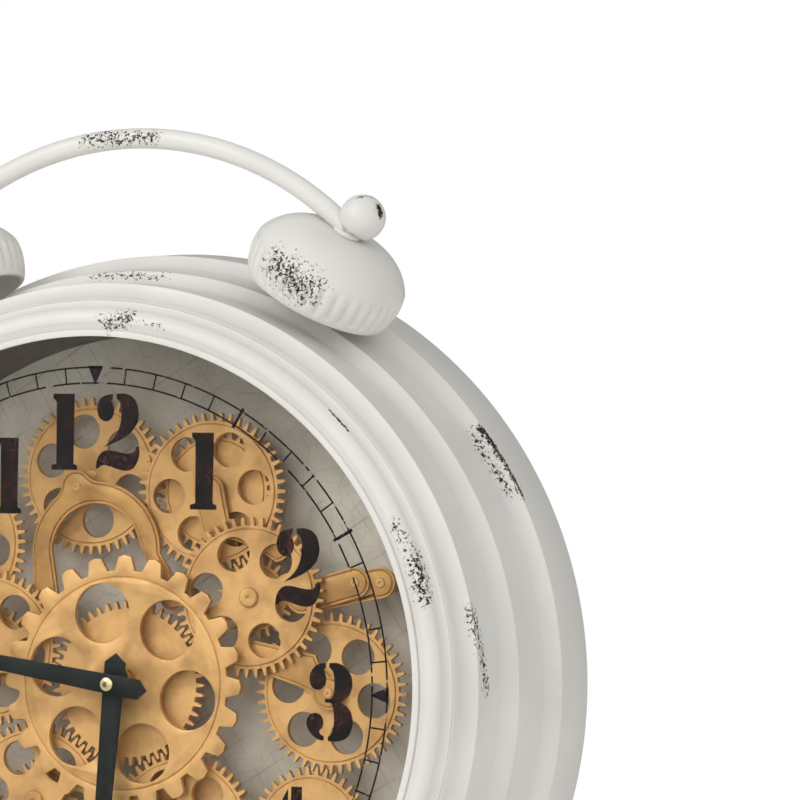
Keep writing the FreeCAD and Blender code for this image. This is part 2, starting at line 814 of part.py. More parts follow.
def paired(label, pieces):
    """One node of several separate pieces."""
    compound = doc.addObject("Part::Compound", "".join(word.title() for word in label.split("_")))
    compound.Links = pieces
    return node(compound, label)


BOTH_STUDS = (("Right", RIGHT_STUD), ("Left", LEFT_STUD))
paired("bells", [bell(f"{side}Bell", stud) for side, stud in BOTH_STUDS])

EYE_TOP = "eye_thickness"
BALL_RISE = "(ball_centre - bell_top)"
BALL_FOOT = f"sqrt(ball_radius * ball_radius - ({BALL_RISE} - eye_thickness) * ({BALL_RISE} - eye_thickness))"


def case_outside(stud):
    """How far below its pivot a stud meets the case's second wall."""
    reach = f"({stud.pivot} - second_step_radius)"
    return f"({reach} / cos({stud.lean}))"


WALL_SLOPE = "((second_wall_radius - second_step_radius) / (second_wall_depth - second_step_depth))"


def post(name, stud):
    """A shouldered stud from inside the case to the finial."""
    wall_here = f"(second_step_radius + (bell_depth - second_step_depth) * {WALL_SLOPE})"
    lowest = f"(({wall_here} - bell_top) * cos({stud.lean}) + (case_wall + gap) + post_radius * {WALL_SLOPE}"
    lowest += f" + sin({stud.lean}) * (bell_top - {wall_here}) * {WALL_SLOPE} + post_radius * sin({stud.lean}) / 2)"
    body = turned(name, [
        ("0", f"{EYE_TOP} + stud_in_ball"),
        ("stud_radius", f"{EYE_TOP} + stud_in_ball"),
        ("stud_radius", "-bell_wall"),
        ("post_radius", "-bell_wall"),
        ("post_radius", lowest),
        ("stud_radius", lowest),
        ("stud_radius", f"{lowest} - stud_inside - nut_thickness"),
        ("0", f"{lowest} - stud_inside - nut_thickness"),
    ])
    return stud.place(body)


def finial(name, stud):
    """A ball knob with a flat foot and a blind hole for the stud."""
    body = turned(name, [
        (BALL_FOOT, EYE_TOP, "ball_radius"),
        ("ball_radius", BALL_RISE, "ball_radius"),
        ("0", f"{BALL_RISE} + ball_radius"),
        ("0", f"{EYE_TOP} + stud_in_ball + gap"),
        ("stud_radius + running_play", f"{EYE_TOP} + stud_in_ball + gap"),
        ("stud_radius + running_play", EYE_TOP),
    ])
    return stud.place(body)


paired("bell_posts", [post(f"{side}Post", stud) for side, stud in BOTH_STUDS])
paired("bell_finials", [finial(f"{side}Finial", stud) for side, stud in BOTH_STUDS])

# Carry handle: a bent tube with flattened eyes

handle = new_body("carry_handle")
tube_sketch = sketch_on(handle, "YZ_Plane", "TubeSection")
ring(tube_sketch, "bell_depth", "handle_arc_height + handle_arc_radius", "handle_tube_radius")
pivot_line = tube_sketch.addGeometry(Part.LineSegment(
    FreeCAD.Vector(0, amount("handle_arc_height"), 0),
    FreeCAD.Vector(amount("bell_depth"), amount("handle_arc_height"), 0)), True)
pin_point(tube_sketch, pivot_line, 1, "0", "handle_arc_height")
pin_point(tube_sketch, pivot_line, 2, "bell_depth", "handle_arc_height")
bend = handle.newObject("PartDesign::Revolution", "Bend")
bend.Profile = tube_sketch
bend.ReferenceAxis = (tube_sketch, ["Axis0"])
bend.Midplane = True
bend.setExpression("Angle", bound("handle_half_angle * 2"))
for side, stud in BOTH_STUDS:
    x, z = stud.spot().numbers()
    upright = stud.turn() * FreeCAD.Rotation(FreeCAD.Vector(1, 0, 0), -90)
    place = FreeCAD.Placement(FreeCAD.Vector(x, amount(stud.depth), z), upright)
    eye_sketch = sketch_on(handle, "XY_Plane", f"{side}EyeOutline", place)
    toward, away = ("-", "") if side == "Right" else ("", "-")
    outline(eye_sketch, [
        ("0", f"{toward}eye_radius", "eye_radius"),
        (f"{away}eye_radius", "0", "eye_radius"),
        ("0", f"{away}eye_radius"),
        (f"{toward}eye_tab", f"{away}eye_radius * eye_tab_share"),
        (f"{toward}eye_tab", f"{toward}eye_radius * eye_tab_share"),
    ])
    ring(eye_sketch, "0", "0", STUD_HOLE)
    eye = handle.newObject("PartDesign::Pad", f"{side}Eye")
    eye.Profile = eye_sketch
    eye.setExpression("Length", bound("eye_thickness"))
node(seat(handle, CENTRE), "carry_handle")

# Legs, pads and nuts

FOOT_CENTRE = "(axis_height - pad_thickness - foot_cut)"


def leg_profile(reach, flange):
    """A turned leg from its flange on the case to its ball foot; reach is the ball's centre."""
    return [
        ("0", "-(stud_inside + nut_thickness + leg_flange_height)"),
        ("stud_radius", "-(stud_inside + nut_thickness + leg_flange_height)"),
        ("stud_radius", "0"),
        (flange, "0"),
        (flange, "leg_flange_height"),
        ("leg_neck_radius", "leg_flange_height * 2"),
        ("leg_knee_radius", f"{reach} - foot_ball_radius"),
        ("foot_ball_radius", reach, "foot_ball_radius"),
        ("0", f"{reach} + foot_ball_radius"),
    ]


LEG_REACH = f"({FOOT_CENTRE} / -cos(front_leg_bearing) - {LEG_SEAT})"
REAR_REACH = f"({FOOT_CENTRE} - {REAR_SEAT})"
FOOT_LEVEL = "pad_thickness - axis_height"


def leg(name, stud, reach, foot_x):
    """A leg whose ball foot is cut level above its pad."""
    body = stud.place(turned(f"{name}Turned", leg_profile(reach, "leg_flange_radius")))
    size = "foot_ball_radius * 3"
    tool = block(f"{name}Cut", size, size, size, f"{foot_x} - {size} / 2", f"{stud.depth} - {size} / 2",
                 f"{FOOT_LEVEL} - {size}")
    return cut(name, body, tool)


PAD_SPREAD = f"({FOOT_CENTRE} * sin(front_leg_bearing) / -cos(front_leg_bearing))"
paired("front_legs", [
    leg("RightLeg", RIGHT_LEG, LEG_REACH, PAD_SPREAD),
    leg("LeftLeg", LEFT_LEG, LEG_REACH, f"-{PAD_SPREAD}"),
])
node(leg("RearLeg", REAR_LEG, REAR_REACH, "0"), "rear_leg")

pads = []
for name, x, depth in (
    ("RightPad", PAD_SPREAD, "front_leg_depth"),
    ("LeftPad", f"-{PAD_SPREAD}", "front_leg_depth"),
    ("RearPad", "0", "rear_leg_depth"),
):
    pad = doc.addObject("Part::Cylinder", name)
    pad.setExpression("Radius", bound("pad_radius"))
    pad.setExpression("Height", bound("pad_thickness"))
    pads.append(seat(pad, Spot(x, "-axis_height"), depth))
paired("foot_pads", pads)


def stud_nut(name, stud, start):
    """A hexagon nut on the inner end of a stud."""
    outer = doc.addObject("Part::Prism", f"{name}Hexagon")
    outer.Polygon = 6
    outer.setExpression("Circumradius", bound("nut_across / sqrt(3)"))
    outer.setExpression("Height", bound("nut_thickness"))
    bore = doc.addObject("Part::Cylinder", f"{name}Bore")
    bore.setExpression("Radius", bound(STUD_HOLE))
    bore.setExpression("Height", bound("nut_thickness"))
    outward = stud.turn() * FreeCAD.Rotation(FreeCAD.Vector(1, 0, 0), -90)
    x, z = stud.spot().numbers()
    base = FreeCAD.Vector(x, amount(f"{DIAL_Y} + {stud.depth}"), z + amount("axis_height"))
    base += outward.multVec(FreeCAD.Vector(0, 0, amount(start)))
    place = FreeCAD.Placement(base, outward)
    outer.Placement = place
    bore.Placement = place
    return cut(name, outer, bore)


NUT_START = "-(case_wall + leg_flange_height + nut_thickness + step_edge_rise * 2)"
BELL_NUT_START = "(second_step_radius - bell_top - case_wall - nut_thickness - step_edge_rise)"
paired("stud_nuts", [
    stud_nut("RightBellNut", RIGHT_STUD, BELL_NUT_START),
    stud_nut("LeftBellNut", LEFT_STUD, BELL_NUT_START),
    stud_nut("RightLegNut", RIGHT_LEG, NUT_START),
    stud_nut("LeftLegNut", LEFT_LEG, NUT_START),
    stud_nut("RearLegNut", REAR_LEG, f"-({REAR_SEAT} - {rear_wall('rear_leg_depth')} + nut_thickness + nut_relief)"),
])

# Gear train


def toothed(teeth, tip, root, phase):
    """The points of a ring of pointed teeth, from a formula."""
    points = []
    for index in range(teeth * 2):
        angle = phase + math.pi * index / teeth
        radius = root if index % 2 else tip
        points.append(FreeCAD.Vector(radius * math.cos(angle), radius * math.sin(angle), 0))
    return points


def coarse(teeth, tip, root, tip_share, root_share):
    """The points of a ring of flat-topped teeth, from a formula."""
    points = []
    pitch = math.tau / teeth
    for index in range(teeth):
        middle = index * pitch
        for radius, share in ((root, -root_share), (tip, -tip_share), (tip, tip_share), (root, root_share)):
            angle = middle + share * pitch
            points.append(FreeCAD.Vector(radius * math.cos(angle), radius * math.sin(angle), 0))
    return points


def gear_body(label, points, bore, spot, depth):
    """A flat gear cut from sheet, with its bore."""
    body = new_body(label)
    sketch = sketch_on(body, "XZ_Plane", "Teeth")
    for index, point in enumerate(points):
        sketch.addGeometry(Part.LineSegment(point, points[(index + 1) % len(points)]))
    if bore is not None:
        ring(sketch, "0", "0", bore)
    pad = body.newObject("PartDesign::Pad", "Blank")
    pad.Profile = sketch
    pad.Reversed = True
    pad.setExpression("Length", bound("gear_thickness"))
    seat(body, spot, depth)
    return body


def fine_gear(label, spot_name, teeth, depth, hub=None, bore=SHAFT_BORE, hub_radius="gear_hub_radius"):
    """A fine-toothed gear in mesh at rest, with any holes and any hub that reaches back."""
    pitch_radius = f"{teeth} * tooth_size / 2"
    points = toothed(TEETH[teeth], amount(f"{pitch_radius} + tooth_size"), amount(f"{pitch_radius} - tooth_depth"),
                     PHASES[spot_name])
    body = gear_body(label, points, bore, SPOTS[spot_name], depth)
    if hub is not None:
        boss(body, hub_radius, bore, "gear_thickness", hub)
    if label in FRONT_HOLES:
        ring_of_holes(body, "gear_hole_circle", "0", "gear_hole_radius", FRONT_HOLES[label])
    return node(body, label)


TWO_TO_THREE = "layer_three_depth - layer_two_depth - gear_thickness"
THREE_TO_FOUR = "layer_four_depth - layer_three_depth - gear_thickness"
CENTRE_BORE = "(sleeve_radius + running_play)"

centre_gear = gear_body("centre_gear", coarse(
    TEETH["coarse_teeth"], amount("coarse_tip_radius"), amount("coarse_root_radius"),
    amount("coarse_tip_share"), amount("coarse_root_share")), CENTRE_BORE, CENTRE, "layer_one_depth")
ring_of_holes(centre_gear, "coarse_hole_circle * sin(coarse_hole_bearing)",
              "coarse_hole_circle * cos(coarse_hole_bearing)", "coarse_hole_radius", TEETH["coarse_teeth"] // 4)
node(centre_gear, "centre_gear")

pitch = "centre_fine_teeth * tooth_size / 2"
centre_fine = gear_body("centre_fine_gear", toothed(
    TEETH["centre_fine_teeth"], amount(f"{pitch} + tooth_size"), amount(f"{pitch} - tooth_depth"),
    PHASES["centre"]), CENTRE_BORE, CENTRE, "layer_two_depth")
boss(centre_fine, "gear_hub_radius * 2", CENTRE_BORE, "layer_one_depth + gear_thickness - layer_two_depth",
     "layer_two_depth - layer_one_depth - gear_thickness")
node(centre_fine, "centre_fine_gear")

for name in ("two", "eight", "ten"):
    fine_gear(f"gear_{name}", name, "large_teeth", "layer_two_depth", hub=TWO_TO_THREE)
    fine_gear(f"gear_{name}_rear", name, "small_teeth", "layer_three_depth")
fine_gear("gear_five", "five", "large_teeth", "layer_two_depth", hub=TWO_TO_THREE)
fine_gear("gear_five_rear", "five", "five_rear_teeth", "layer_three_depth")
fine_gear("gear_one", "one", "large_teeth", "layer_three_depth", hub=THREE_TO_FOUR)
fine_gear("gear_one_rear", "one", "middle_teeth", "layer_four_depth")
fine_gear("gear_twelve", "twelve", "large_teeth", "layer_four_depth")
fine_gear("gear_four", "four", "middle_teeth", "layer_three_depth")
for name in ("three", "seven", "eleven"):
    fine_gear(f"gear_{name}", name, "large_teeth", "layer_three_depth")
fine_gear("motor_pinion", "motor", "motor_teeth", "layer_three_depth", bore=None, hub_radius="motor_shaft_radius",
          hub=f"{PLATE_BACK} + motor_bearing_depth - gap - layer_three_depth - gear_thickness")

# Axles and pillars


def axle(name, front):
    """A headed pin from the front of its gear or bridge to the dial plate."""
    return turned(name, [
        ("0", f"{front} - axle_head_height"),
        ("axle_head_radius * head_crown_share", f"{front} - axle_head_height"),
        ("axle_head_radius", f"{front} - axle_head_height / 2"),
        ("axle_head_radius", front),
        ("pin_radius", front),
        ("pin_radius", "plate_depth"),
        ("0", "plate_depth"),
    ])


def pillar(name, inner, outer, front):
    """A spacer that keeps a gear off the dial plate."""
    return washer(name, inner, outer, front, "plate_depth")


front_axle = axle("FrontAxle", "layer_two_depth - gap")
rear_axle = axle("RearAxle", "layer_three_depth - gap")
bridge_axle = axle("BridgeAxle", "bridge_depth")
group("gear_axles", [(front_axle, SPOTS[name], "0") for name in ("two", "five", "eight", "ten")]
      + [(rear_axle, SPOTS[name], "0") for name in ("four", "seven", "eleven")]
      + [(bridge_axle, SPOTS[name], "0") for name in ("one", "twelve", "three")])
long_pillar = pillar("LongPillar", SHAFT_BORE, "pillar_radius", "layer_three_depth + gear_thickness + gap")
short_pillar = pillar("ShortPillar", SHAFT_BORE, "pillar_radius", "layer_four_depth + gear_thickness + gap")
group("gear_pillars", [(long_pillar, SPOTS[name], "0")
                       for name in ("two", "three", "four", "five", "seven", "eight", "ten", "eleven")]
      + [(short_pillar, SPOTS[name], "0") for name in ("one", "twelve")])

# Bridge plates in front of the outer gears

YOKE_LEFT = "(yoke_x - yoke_foot_spread)"
YOKE_RIGHT = "(yoke_x + yoke_foot_spread)"
yoke = flat("yoke_plate", [
    ("yoke_x + yoke_outer_radius", "yoke_z", "yoke_outer_radius"),
    ("yoke_x", "yoke_z + yoke_outer_radius", "yoke_outer_radius"),
    ("yoke_x - yoke_outer_radius", "yoke_z"),
    (f"{YOKE_LEFT} - yoke_foot_width / 2", "yoke_foot_z", "yoke_foot_width / 2"),
    (f"{YOKE_LEFT}", "yoke_foot_z - yoke_foot_width / 2", "yoke_foot_width / 2"),
    (f"{YOKE_LEFT} + yoke_foot_width / 2", "yoke_foot_z"),
    ("yoke_x - yoke_inner_radius", "yoke_z", "-yoke_inner_radius"),
    ("yoke_x", "yoke_z + yoke_inner_radius", "-yoke_inner_radius"),
    ("yoke_x + yoke_inner_radius", "yoke_z"),
    (f"{YOKE_RIGHT} - yoke_foot_width / 2", "yoke_foot_z", "yoke_foot_width / 2"),
    (f"{YOKE_RIGHT}", "yoke_foot_z - yoke_foot_width / 2", "yoke_foot_width / 2"),
    (f"{YOKE_RIGHT} + yoke_foot_width / 2", "yoke_foot_z"),
], [], "bridge_thickness", CENTRE, "bridge_depth")
ear(yoke, SPOTS["twelve"], "ear_radius", SHAFT_BORE, "bridge_thickness")
node(yoke, "yoke_plate")


def link(label, start, end, width, depth, pinned):
    """A flat link with round ends; its own X axis runs from start to end."""
    start_x, start_z = start.numbers()
    end_x, end_z = end.numbers()
    length = f"sqrt(({end.x} - ({start.x})) * ({end.x} - ({start.x})) + ({end.z} - ({start.z})) * ({end.z} - ({start.z})))"
    half = f"{width} / 2"
    holes = [("0", "0", SHAFT_BORE)] if pinned else []
    body = flat(label, [
        ("0", f"-{half}"),
        (length, f"-{half}", half),
        (f"{length} + {half}", "0", half),
        (length, half),
        ("0", half, half),
        (f"-{half}", "0", half),
    ], holes, "bridge_thickness", start, depth)
    heading = math.degrees(math.atan2(end_z - start_z, end_x - start_x))
    body.Placement.Rotation = FreeCAD.Rotation(FreeCAD.Vector(0, -1, 0), heading)
    return body


ARM_ONE_FOOT = Spot("arm_one_foot_x", "arm_one_foot_z")
ARM_THREE_FOOT = Spot("arm_three_foot_x", "arm_three_foot_z")
LINK_ONE = Spot("link_one_x", "link_one_z")
LINK_TWO = Spot("link_two_x", "link_two_z")
LINK_FAR = Spot("link_far_x", "link_far_z")
LINK_TOP = Spot("link_top_x", "link_top_z")
node(link("arm_one", SPOTS["one"], ARM_ONE_FOOT, "arm_width", "bridge_depth", True), "arm_one")
node(link("arm_three", SPOTS["three"], ARM_THREE_FOOT, "arm_width", "bridge_depth", True), "arm_three")
paired("link_plates", [
    link("LinkOne", LINK_ONE, LINK_TOP, "link_width", "bridge_depth", False),
    link("LinkTwo", LINK_TWO, LINK_FAR, "link_width", BRIDGE_BACK, False),
])

bridge_pillar = pillar("BridgePillar", "bridge_pillar_radius / 2", "bridge_pillar_radius", BRIDGE_BACK)
outer_pillar = pillar("OuterPillar", "bridge_pillar_radius / 2", "bridge_pillar_radius",
                      f"{BRIDGE_BACK} + bridge_thickness")
group("bridge_pillars", [
    (bridge_pillar, Spot(YOKE_LEFT, "yoke_foot_z"), "0"),
    (bridge_pillar, Spot(YOKE_RIGHT, "yoke_foot_z"), "0"),
    (bridge_pillar, ARM_ONE_FOOT, "0"),
    (bridge_pillar, ARM_THREE_FOOT, "0"),
    (bridge_pillar, LINK_TOP, "0"),
    (outer_pillar, LINK_FAR, "0"),
])

# Centre works

SLEEVE_FRONT = "(nut_front + centre_nut_thickness)"
SLEEVE_STEP = "(layer_two_depth + gear_thickness + gap)"
BUSH_HOLE = "(bush_radius + running_play)"
node(turned("centre_sleeve", [
    (BUSH_HOLE, SLEEVE_FRONT),
    ("sleeve_radius", SLEEVE_FRONT),
    ("sleeve_radius", SLEEVE_STEP),
    ("sleeve_shoulder_radius", SLEEVE_STEP),
    ("sleeve_shoulder_radius", "plate_depth"),
    (BUSH_HOLE, "plate_depth"),
]), "centre_sleeve")

centre_nut = doc.addObject("Part::Prism", "CentreNutHexagon")
centre_nut.Polygon = 6
centre_nut.setExpression("Circumradius", bound("centre_nut_across / sqrt(3)"))
centre_nut.setExpression("Height", bound("centre_nut_thickness"))
centre_nut.Placement.Rotation = FreeCAD.Rotation(FreeCAD.Vector(1, 0, 0), -90)
seat(centre_nut, CENTRE, "nut_front")
centre_nut_bore = rod("CentreNutBore", BUSH_HOLE, "centre_nut_thickness", CENTRE, "nut_front")
node(cut("MovementNut", centre_nut, centre_nut_bore), "movement_nut")

# Movement: case with its bush, hour pipe, minute arbor, knob and cell

MOVEMENT_BACK = f"({PLATE_BACK} + movement_thickness)"
CELL_HIGH = "(movement_side / 2 - cell_inset)"
movement_block = block("MovementBlock", "movement_side", "movement_thickness", "movement_side",
                       "-movement_side / 2", PLATE_BACK, "-movement_side / 2")
bush = rod("Bush", "bush_radius", f"{PLATE_BACK} - bush_front + gap", CENTRE, "bush_front")
bush_bore = rod("BushBore", "bush_bore", f"{PLATE_BACK} - bush_front + movement_thickness / 2", CENTRE, "bush_front")
knob_hole = rod("KnobHole", "knob_pin_radius + running_play", "movement_thickness", Spot("knob_offset", "0"),
                f"{MOVEMENT_BACK} - movement_thickness / 3")
cell_bay = block("CellBay", "cell_length + gap * 2", "cell_radius * 2 + gap", "cell_radius * 2 + gap * 2",
                 "-(cell_length / 2 + gap)", f"{MOVEMENT_BACK} - cell_radius * 2",
                 f"-({CELL_HIGH} + cell_radius + gap)")
node(cut("MovementCase", joined("MovementSolid", [movement_block, bush]),
         joined("MovementHollows", [bush_bore, knob_hole, cell_bay])), "movement_case")
cell = doc.addObject("Part::Cylinder", "MovementCell")
cell.setExpression("Radius", bound("cell_radius - gap"))
cell.setExpression("Height", bound("cell_length"))
cell.Placement.Rotation = FreeCAD.Rotation(FreeCAD.Vector(0, 1, 0), 90)
seat(cell, Spot("-cell_length / 2", f"-{CELL_HIGH}"), f"{MOVEMENT_BACK} - cell_radius - gap / 2")
node(cell, "movement_cell")

PIPE_RADIUS = "(bush_bore - running_play)"
ARBOR_RADIUS = "(hour_pipe_bore - running_play)"
HOUR_BACK = "(hour_hand_depth + hand_thickness)"
MINUTE_BACK = "(minute_hand_depth + hand_thickness)"
node(turned("hour_pipe", [
    ("hour_pipe_bore", HOUR_BACK),
    (PIPE_RADIUS, HOUR_BACK),
    (PIPE_RADIUS, PLATE_BACK),
    ("hour_pipe_bore", PLATE_BACK),
]), "hour_pipe")
node(turned("minute_arbor", [
    ("0", MINUTE_BACK),
    (ARBOR_RADIUS, MINUTE_BACK),
    (ARBOR_RADIUS, f"{PLATE_BACK} + movement_thickness / 4"),
    ("0", f"{PLATE_BACK} + movement_thickness / 4"),
]), "minute_arbor")
node(turned("setting_knob", [
    ("0", f"{MOVEMENT_BACK} - movement_thickness / 4"),
    ("knob_pin_radius", f"{MOVEMENT_BACK} - movement_thickness / 4"),
    ("knob_pin_radius", f"{MOVEMENT_BACK} + gap"),
    ("knob_radius", f"{MOVEMENT_BACK} + gap"),
    ("knob_radius", f"{MOVEMENT_BACK} + gap + knob_height"),
    ("0", f"{MOVEMENT_BACK} + gap + knob_height"),
], Spot("knob_offset", "0")), "setting_knob")


def hand(label, length, width, tip_width, tail, depth, rest, bore):
    """A flat hand with a blunt point and a pointed tail, drawn pointing up."""
    holes = [("0", "0", bore)] if bore else []
    body = flat(label, [
        (f"{width} / 2", "0"),
        (f"{tip_width} / 2", f"{length} - hand_point"),
        ("0", length),
        (f"-{tip_width} / 2", f"{length} - hand_point"),
        (f"-{width} / 2", "0"),
        (f"-{width} / 2", f"tail_point - {tail}"),
        ("0", f"-{tail}"),
        (f"{width} / 2", f"tail_point - {tail}"),
    ], holes, "hand_thickness", CENTRE, depth)
    body.Placement.Rotation = FreeCAD.Rotation(FreeCAD.Vector(0, 1, 0), amount(rest))
    return node(body, label)


hand("hour_hand", "hour_length", "hour_width", "hour_tip_width", "hour_tail", "hour_hand_depth",
     "hour_rest_angle", "hour_pipe_bore")
hand("minute_hand", "minute_length", "minute_width", "minute_tip_width", "minute_tail", "minute_hand_depth",
     "minute_rest_angle", None)
NUT_BALL = "(minute_hand_depth - hand_nut_radius)"
node(turned("hand_nut", [
    ("0", "minute_hand_depth"),
    ("hand_nut_radius * nut_crown_share", "minute_hand_depth"),
    ("hand_nut_radius", NUT_BALL),
    ("hand_nut_radius * nut_crown_share", f"{NUT_BALL} - hand_nut_radius * nut_crown_share"),
    ("0", "hand_nut_front"),
]), "hand_nut")

# Gear motor behind the plate

motor_can = rod("MotorCan", "motor_radius", "motor_length", SPOTS["motor"], PLATE_BACK)
motor_bearing = rod("MotorBearing", "motor_shaft_radius + running_play", "motor_bearing_depth", SPOTS["motor"],
                    PLATE_BACK)
node(cut("GearMotor", motor_can, motor_bearing), "gear_motor")

# Battery box, cells, contacts and lid

BOX_FRONT = f"({COVER_FRONT} - box_depth)"
box_solid = block("BoxSolid", "box_width", "box_depth", "box_height", "-box_width / 2", BOX_FRONT,
                  "-(box_drop + box_height / 2)")
box_hollow = block("BoxHollow", "box_width - box_wall * 2", "box_depth", "box_height - box_wall * 2",
                   "box_wall - box_width / 2", f"{BOX_FRONT} + box_wall", "box_wall - box_drop - box_height / 2")
node(cut("BatteryBox", box_solid, box_hollow), "battery_box")
cells = []
for name, side in (("UpperCell", ""), ("LowerCell", "-")):
    cell = doc.addObject("Part::Cylinder", name)
    cell.setExpression("Radius", bound("cell_radius"))
    cell.setExpression("Height", bound("cell_length"))
    cell.Placement.Rotation = FreeCAD.Rotation(FreeCAD.Vector(0, 1, 0), 90)
    seat(cell, Spot("-cell_length / 2", f"{side}(cell_radius + gap / 2) - box_drop"),
         f"{BOX_FRONT} + box_wall + cell_radius + gap")
    cells.append(cell)
paired("battery_cells", cells)
contacts = []
for name, x in (("RightContact", "cell_length / 2 + gap"), ("LeftContact", "-(cell_length / 2 + gap + contact_thickness)")):
    contacts.append(block(name, "contact_thickness", "contact_height", "box_height - box_wall * 4", x,
                          f"{BOX_FRONT} + box_wall", "box_wall * 2 - box_drop - box_height / 2"))
paired("battery_contacts", contacts)
node(block("BatteryLid", "lid_width", "lid_thickness", "lid_height", "-lid_width / 2",
           f"{COVER_BACK} + running_play * 2", "-(box_drop + lid_height / 2)"), "battery_lid")

# Slide switch

SWITCH_FRONT = f"({COVER_FRONT} - switch_body_depth)"
switch_solid = block("SwitchSolid", "switch_width", "switch_body_depth", "switch_height",
                     "switch_x - switch_width / 2", SWITCH_FRONT, "-(switch_drop + switch_height / 2)")
switch_hollow = block("SwitchHollow", "slot_length", "switch_body_depth / 2", "slot_width",
                      "switch_x - slot_length / 2", f"{COVER_FRONT} - switch_body_depth / 2",
                      "-(switch_drop + slot_width / 2)")
node(cut("SwitchBody", switch_solid, switch_hollow), "switch_body")
node(block("SwitchSlider", "slider_length", f"switch_body_depth / 2 - gap + cover_thickness + slider_rise",
           "slider_width", "switch_x - slot_length / 2 + gap", f"{COVER_FRONT} - switch_body_depth / 2 + gap",
           "-(switch_drop + slider_width / 2)"), "switch_slider")

# Check every object, then write one file for each sub-part

doc.recompute()
faults = [item.Name for item in doc.Objects if "Invalid" in item.State or "Error" in item.State]
if faults:
    raise RuntimeError(f"these objects failed: {faults}")
for piece in NODES:
    if piece.Shape.isNull() or not piece.Shape.isValid():
        raise RuntimeError(f"{piece.Label} has no valid shape")
os.makedirs("parts", exist_ok=True)
for piece in NODES:
    piece.Shape.exportStep(f"parts/{piece.Label}.step")
    print(piece.Label, len(piece.Shape.Solids), round(piece.Shape.Volume, 1))
print(len(NODES), "nodes")
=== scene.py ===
"""Twin-bell table clock with a skeleton gear train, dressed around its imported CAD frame.

Each sub-assembly is a class: its sizes are dataclass fields in millimetres, its methods model the pieces
with Blender's own tools and dress them in procedural finishes. Places on the dial are x to the right, z up
from the hand axis and y backwards from the rear face of the glass.
"""

import json
import logging
import math
from contextlib import contextmanager
from dataclasses import dataclass, field
from enum import Enum
from typing import Callable, ClassVar, Iterable, Iterator, Sequence

import bpy
from mathutils import Matrix, Vector


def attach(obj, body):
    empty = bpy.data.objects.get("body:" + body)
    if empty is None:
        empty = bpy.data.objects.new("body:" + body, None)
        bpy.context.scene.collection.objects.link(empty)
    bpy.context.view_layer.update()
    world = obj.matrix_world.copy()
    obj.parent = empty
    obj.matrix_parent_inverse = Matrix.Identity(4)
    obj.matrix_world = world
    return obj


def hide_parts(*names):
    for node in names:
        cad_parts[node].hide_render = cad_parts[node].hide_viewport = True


LOG = logging.getLogger("table_clock")
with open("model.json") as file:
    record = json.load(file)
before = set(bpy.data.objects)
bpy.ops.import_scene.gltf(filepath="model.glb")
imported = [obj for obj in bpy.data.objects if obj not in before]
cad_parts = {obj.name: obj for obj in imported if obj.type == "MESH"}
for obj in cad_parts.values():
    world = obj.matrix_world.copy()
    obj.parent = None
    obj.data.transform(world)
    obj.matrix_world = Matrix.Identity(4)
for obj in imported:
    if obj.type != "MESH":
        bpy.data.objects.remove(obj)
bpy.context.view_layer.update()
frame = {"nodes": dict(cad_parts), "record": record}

MM = 0.001
DIAL_Y = -42.25
AXIS_HEIGHT = 220.0
PLATE_DEPTH = 60.0
MERGE = 1e-6
FLAT_ANGLE = 0.6
GEAR_CREASE = 34.0
TURNED_CREASE = 40.0

Piece = bpy.types.Object
Tree = bpy.types.NodeTree
Node = bpy.types.Node
Socket = bpy.types.NodeSocket
Point = tuple[float, float]
Place = tuple[float, float, float]


class Slot(Enum):
    """The record's material slots that pieces take their finish from."""

    PAINT = "white_paint"
    GLASS = "clear_glass"
    RUBBER = "gasket_rubber"
    LINER = "liner_paint"
    PLATE = "plate_paint"
    GOLD = "gear_gold"
    STEEL = "steel"
    BRASS = "antique_brass"
    BLACK = "hand_black"
    PLASTIC = "black_plastic"
    BACK = "back_paint"
    JACKET = "cell_jacket"


# Places


def dial(x: float, y: float, z: float) -> Vector:
    """Turn a place on the dial, in millimetres, into the frame's metres."""
    return Vector((x, y + DIAL_Y, z + AXIS_HEIGHT)) * MM


def facing(x: float = 0.0, y: float = 0.0, z: float = 0.0) -> Matrix:
    """A place whose own Z axis runs backwards along the depth of the dial.

    Args:
        x: Place to the right of the hand axis, in millimetres.
        y: Depth behind the glass, in millimetres.
        z: Place above the hand axis, in millimetres.

    Returns:
        The matrix that takes a mesh made in metres about its own Z axis to that place.
    """
    turn = Matrix(((1, 0, 0), (0, 0, 1), (0, -1, 0))).to_4x4()
    return Matrix.Translation(dial(x, y, z)) @ turn


@dataclass(frozen=True)
class Stud:
    """A line out of the case that a bell or a ball knob stands on.

    Args:
        bearing: Degrees clockwise from twelve to its origin, seen from the front.
        tilt: Degrees clockwise from upright that the line points to.
        lean: Degrees that the line leans to the front.
        reach: Distance of the origin from the hand axis, in millimetres.
        depth: Depth of the origin on the dial, in millimetres.
    """

    bearing: float
    tilt: float
    lean: float = 0.0
    reach: float = 196.3
    depth: float = 36.5

    def outward(self) -> Vector:
        """The direction of the line."""
        tilt, lean = math.radians(self.tilt), math.radians(self.lean)
        return Vector((math.sin(tilt) * math.cos(lean), -math.sin(lean), math.cos(tilt) * math.cos(lean)))

    def origin(self) -> Vector:
        """The line's own zero, in metres."""
        bearing = math.radians(self.bearing)
        return dial(self.reach * math.sin(bearing), self.depth, self.reach * math.cos(bearing))

    def place(self) -> Matrix:
        """The matrix that stands a mesh made about Z on the line."""
        tilt = math.radians(self.tilt)
        up = self.outward()
        across = Vector((math.cos(tilt), 0, -math.sin(tilt)))
        turn = Matrix((across, up.cross(across), up)).transposed()
        return Matrix.Translation(self.origin()) @ turn.to_4x4()


# Modelling tools


def fresh() -> None:
    """Leave edit mode and let go of everything."""
    if bpy.context.mode != "OBJECT":
        bpy.ops.object.mode_set(mode="OBJECT")
    bpy.ops.object.select_all(action="DESELECT")


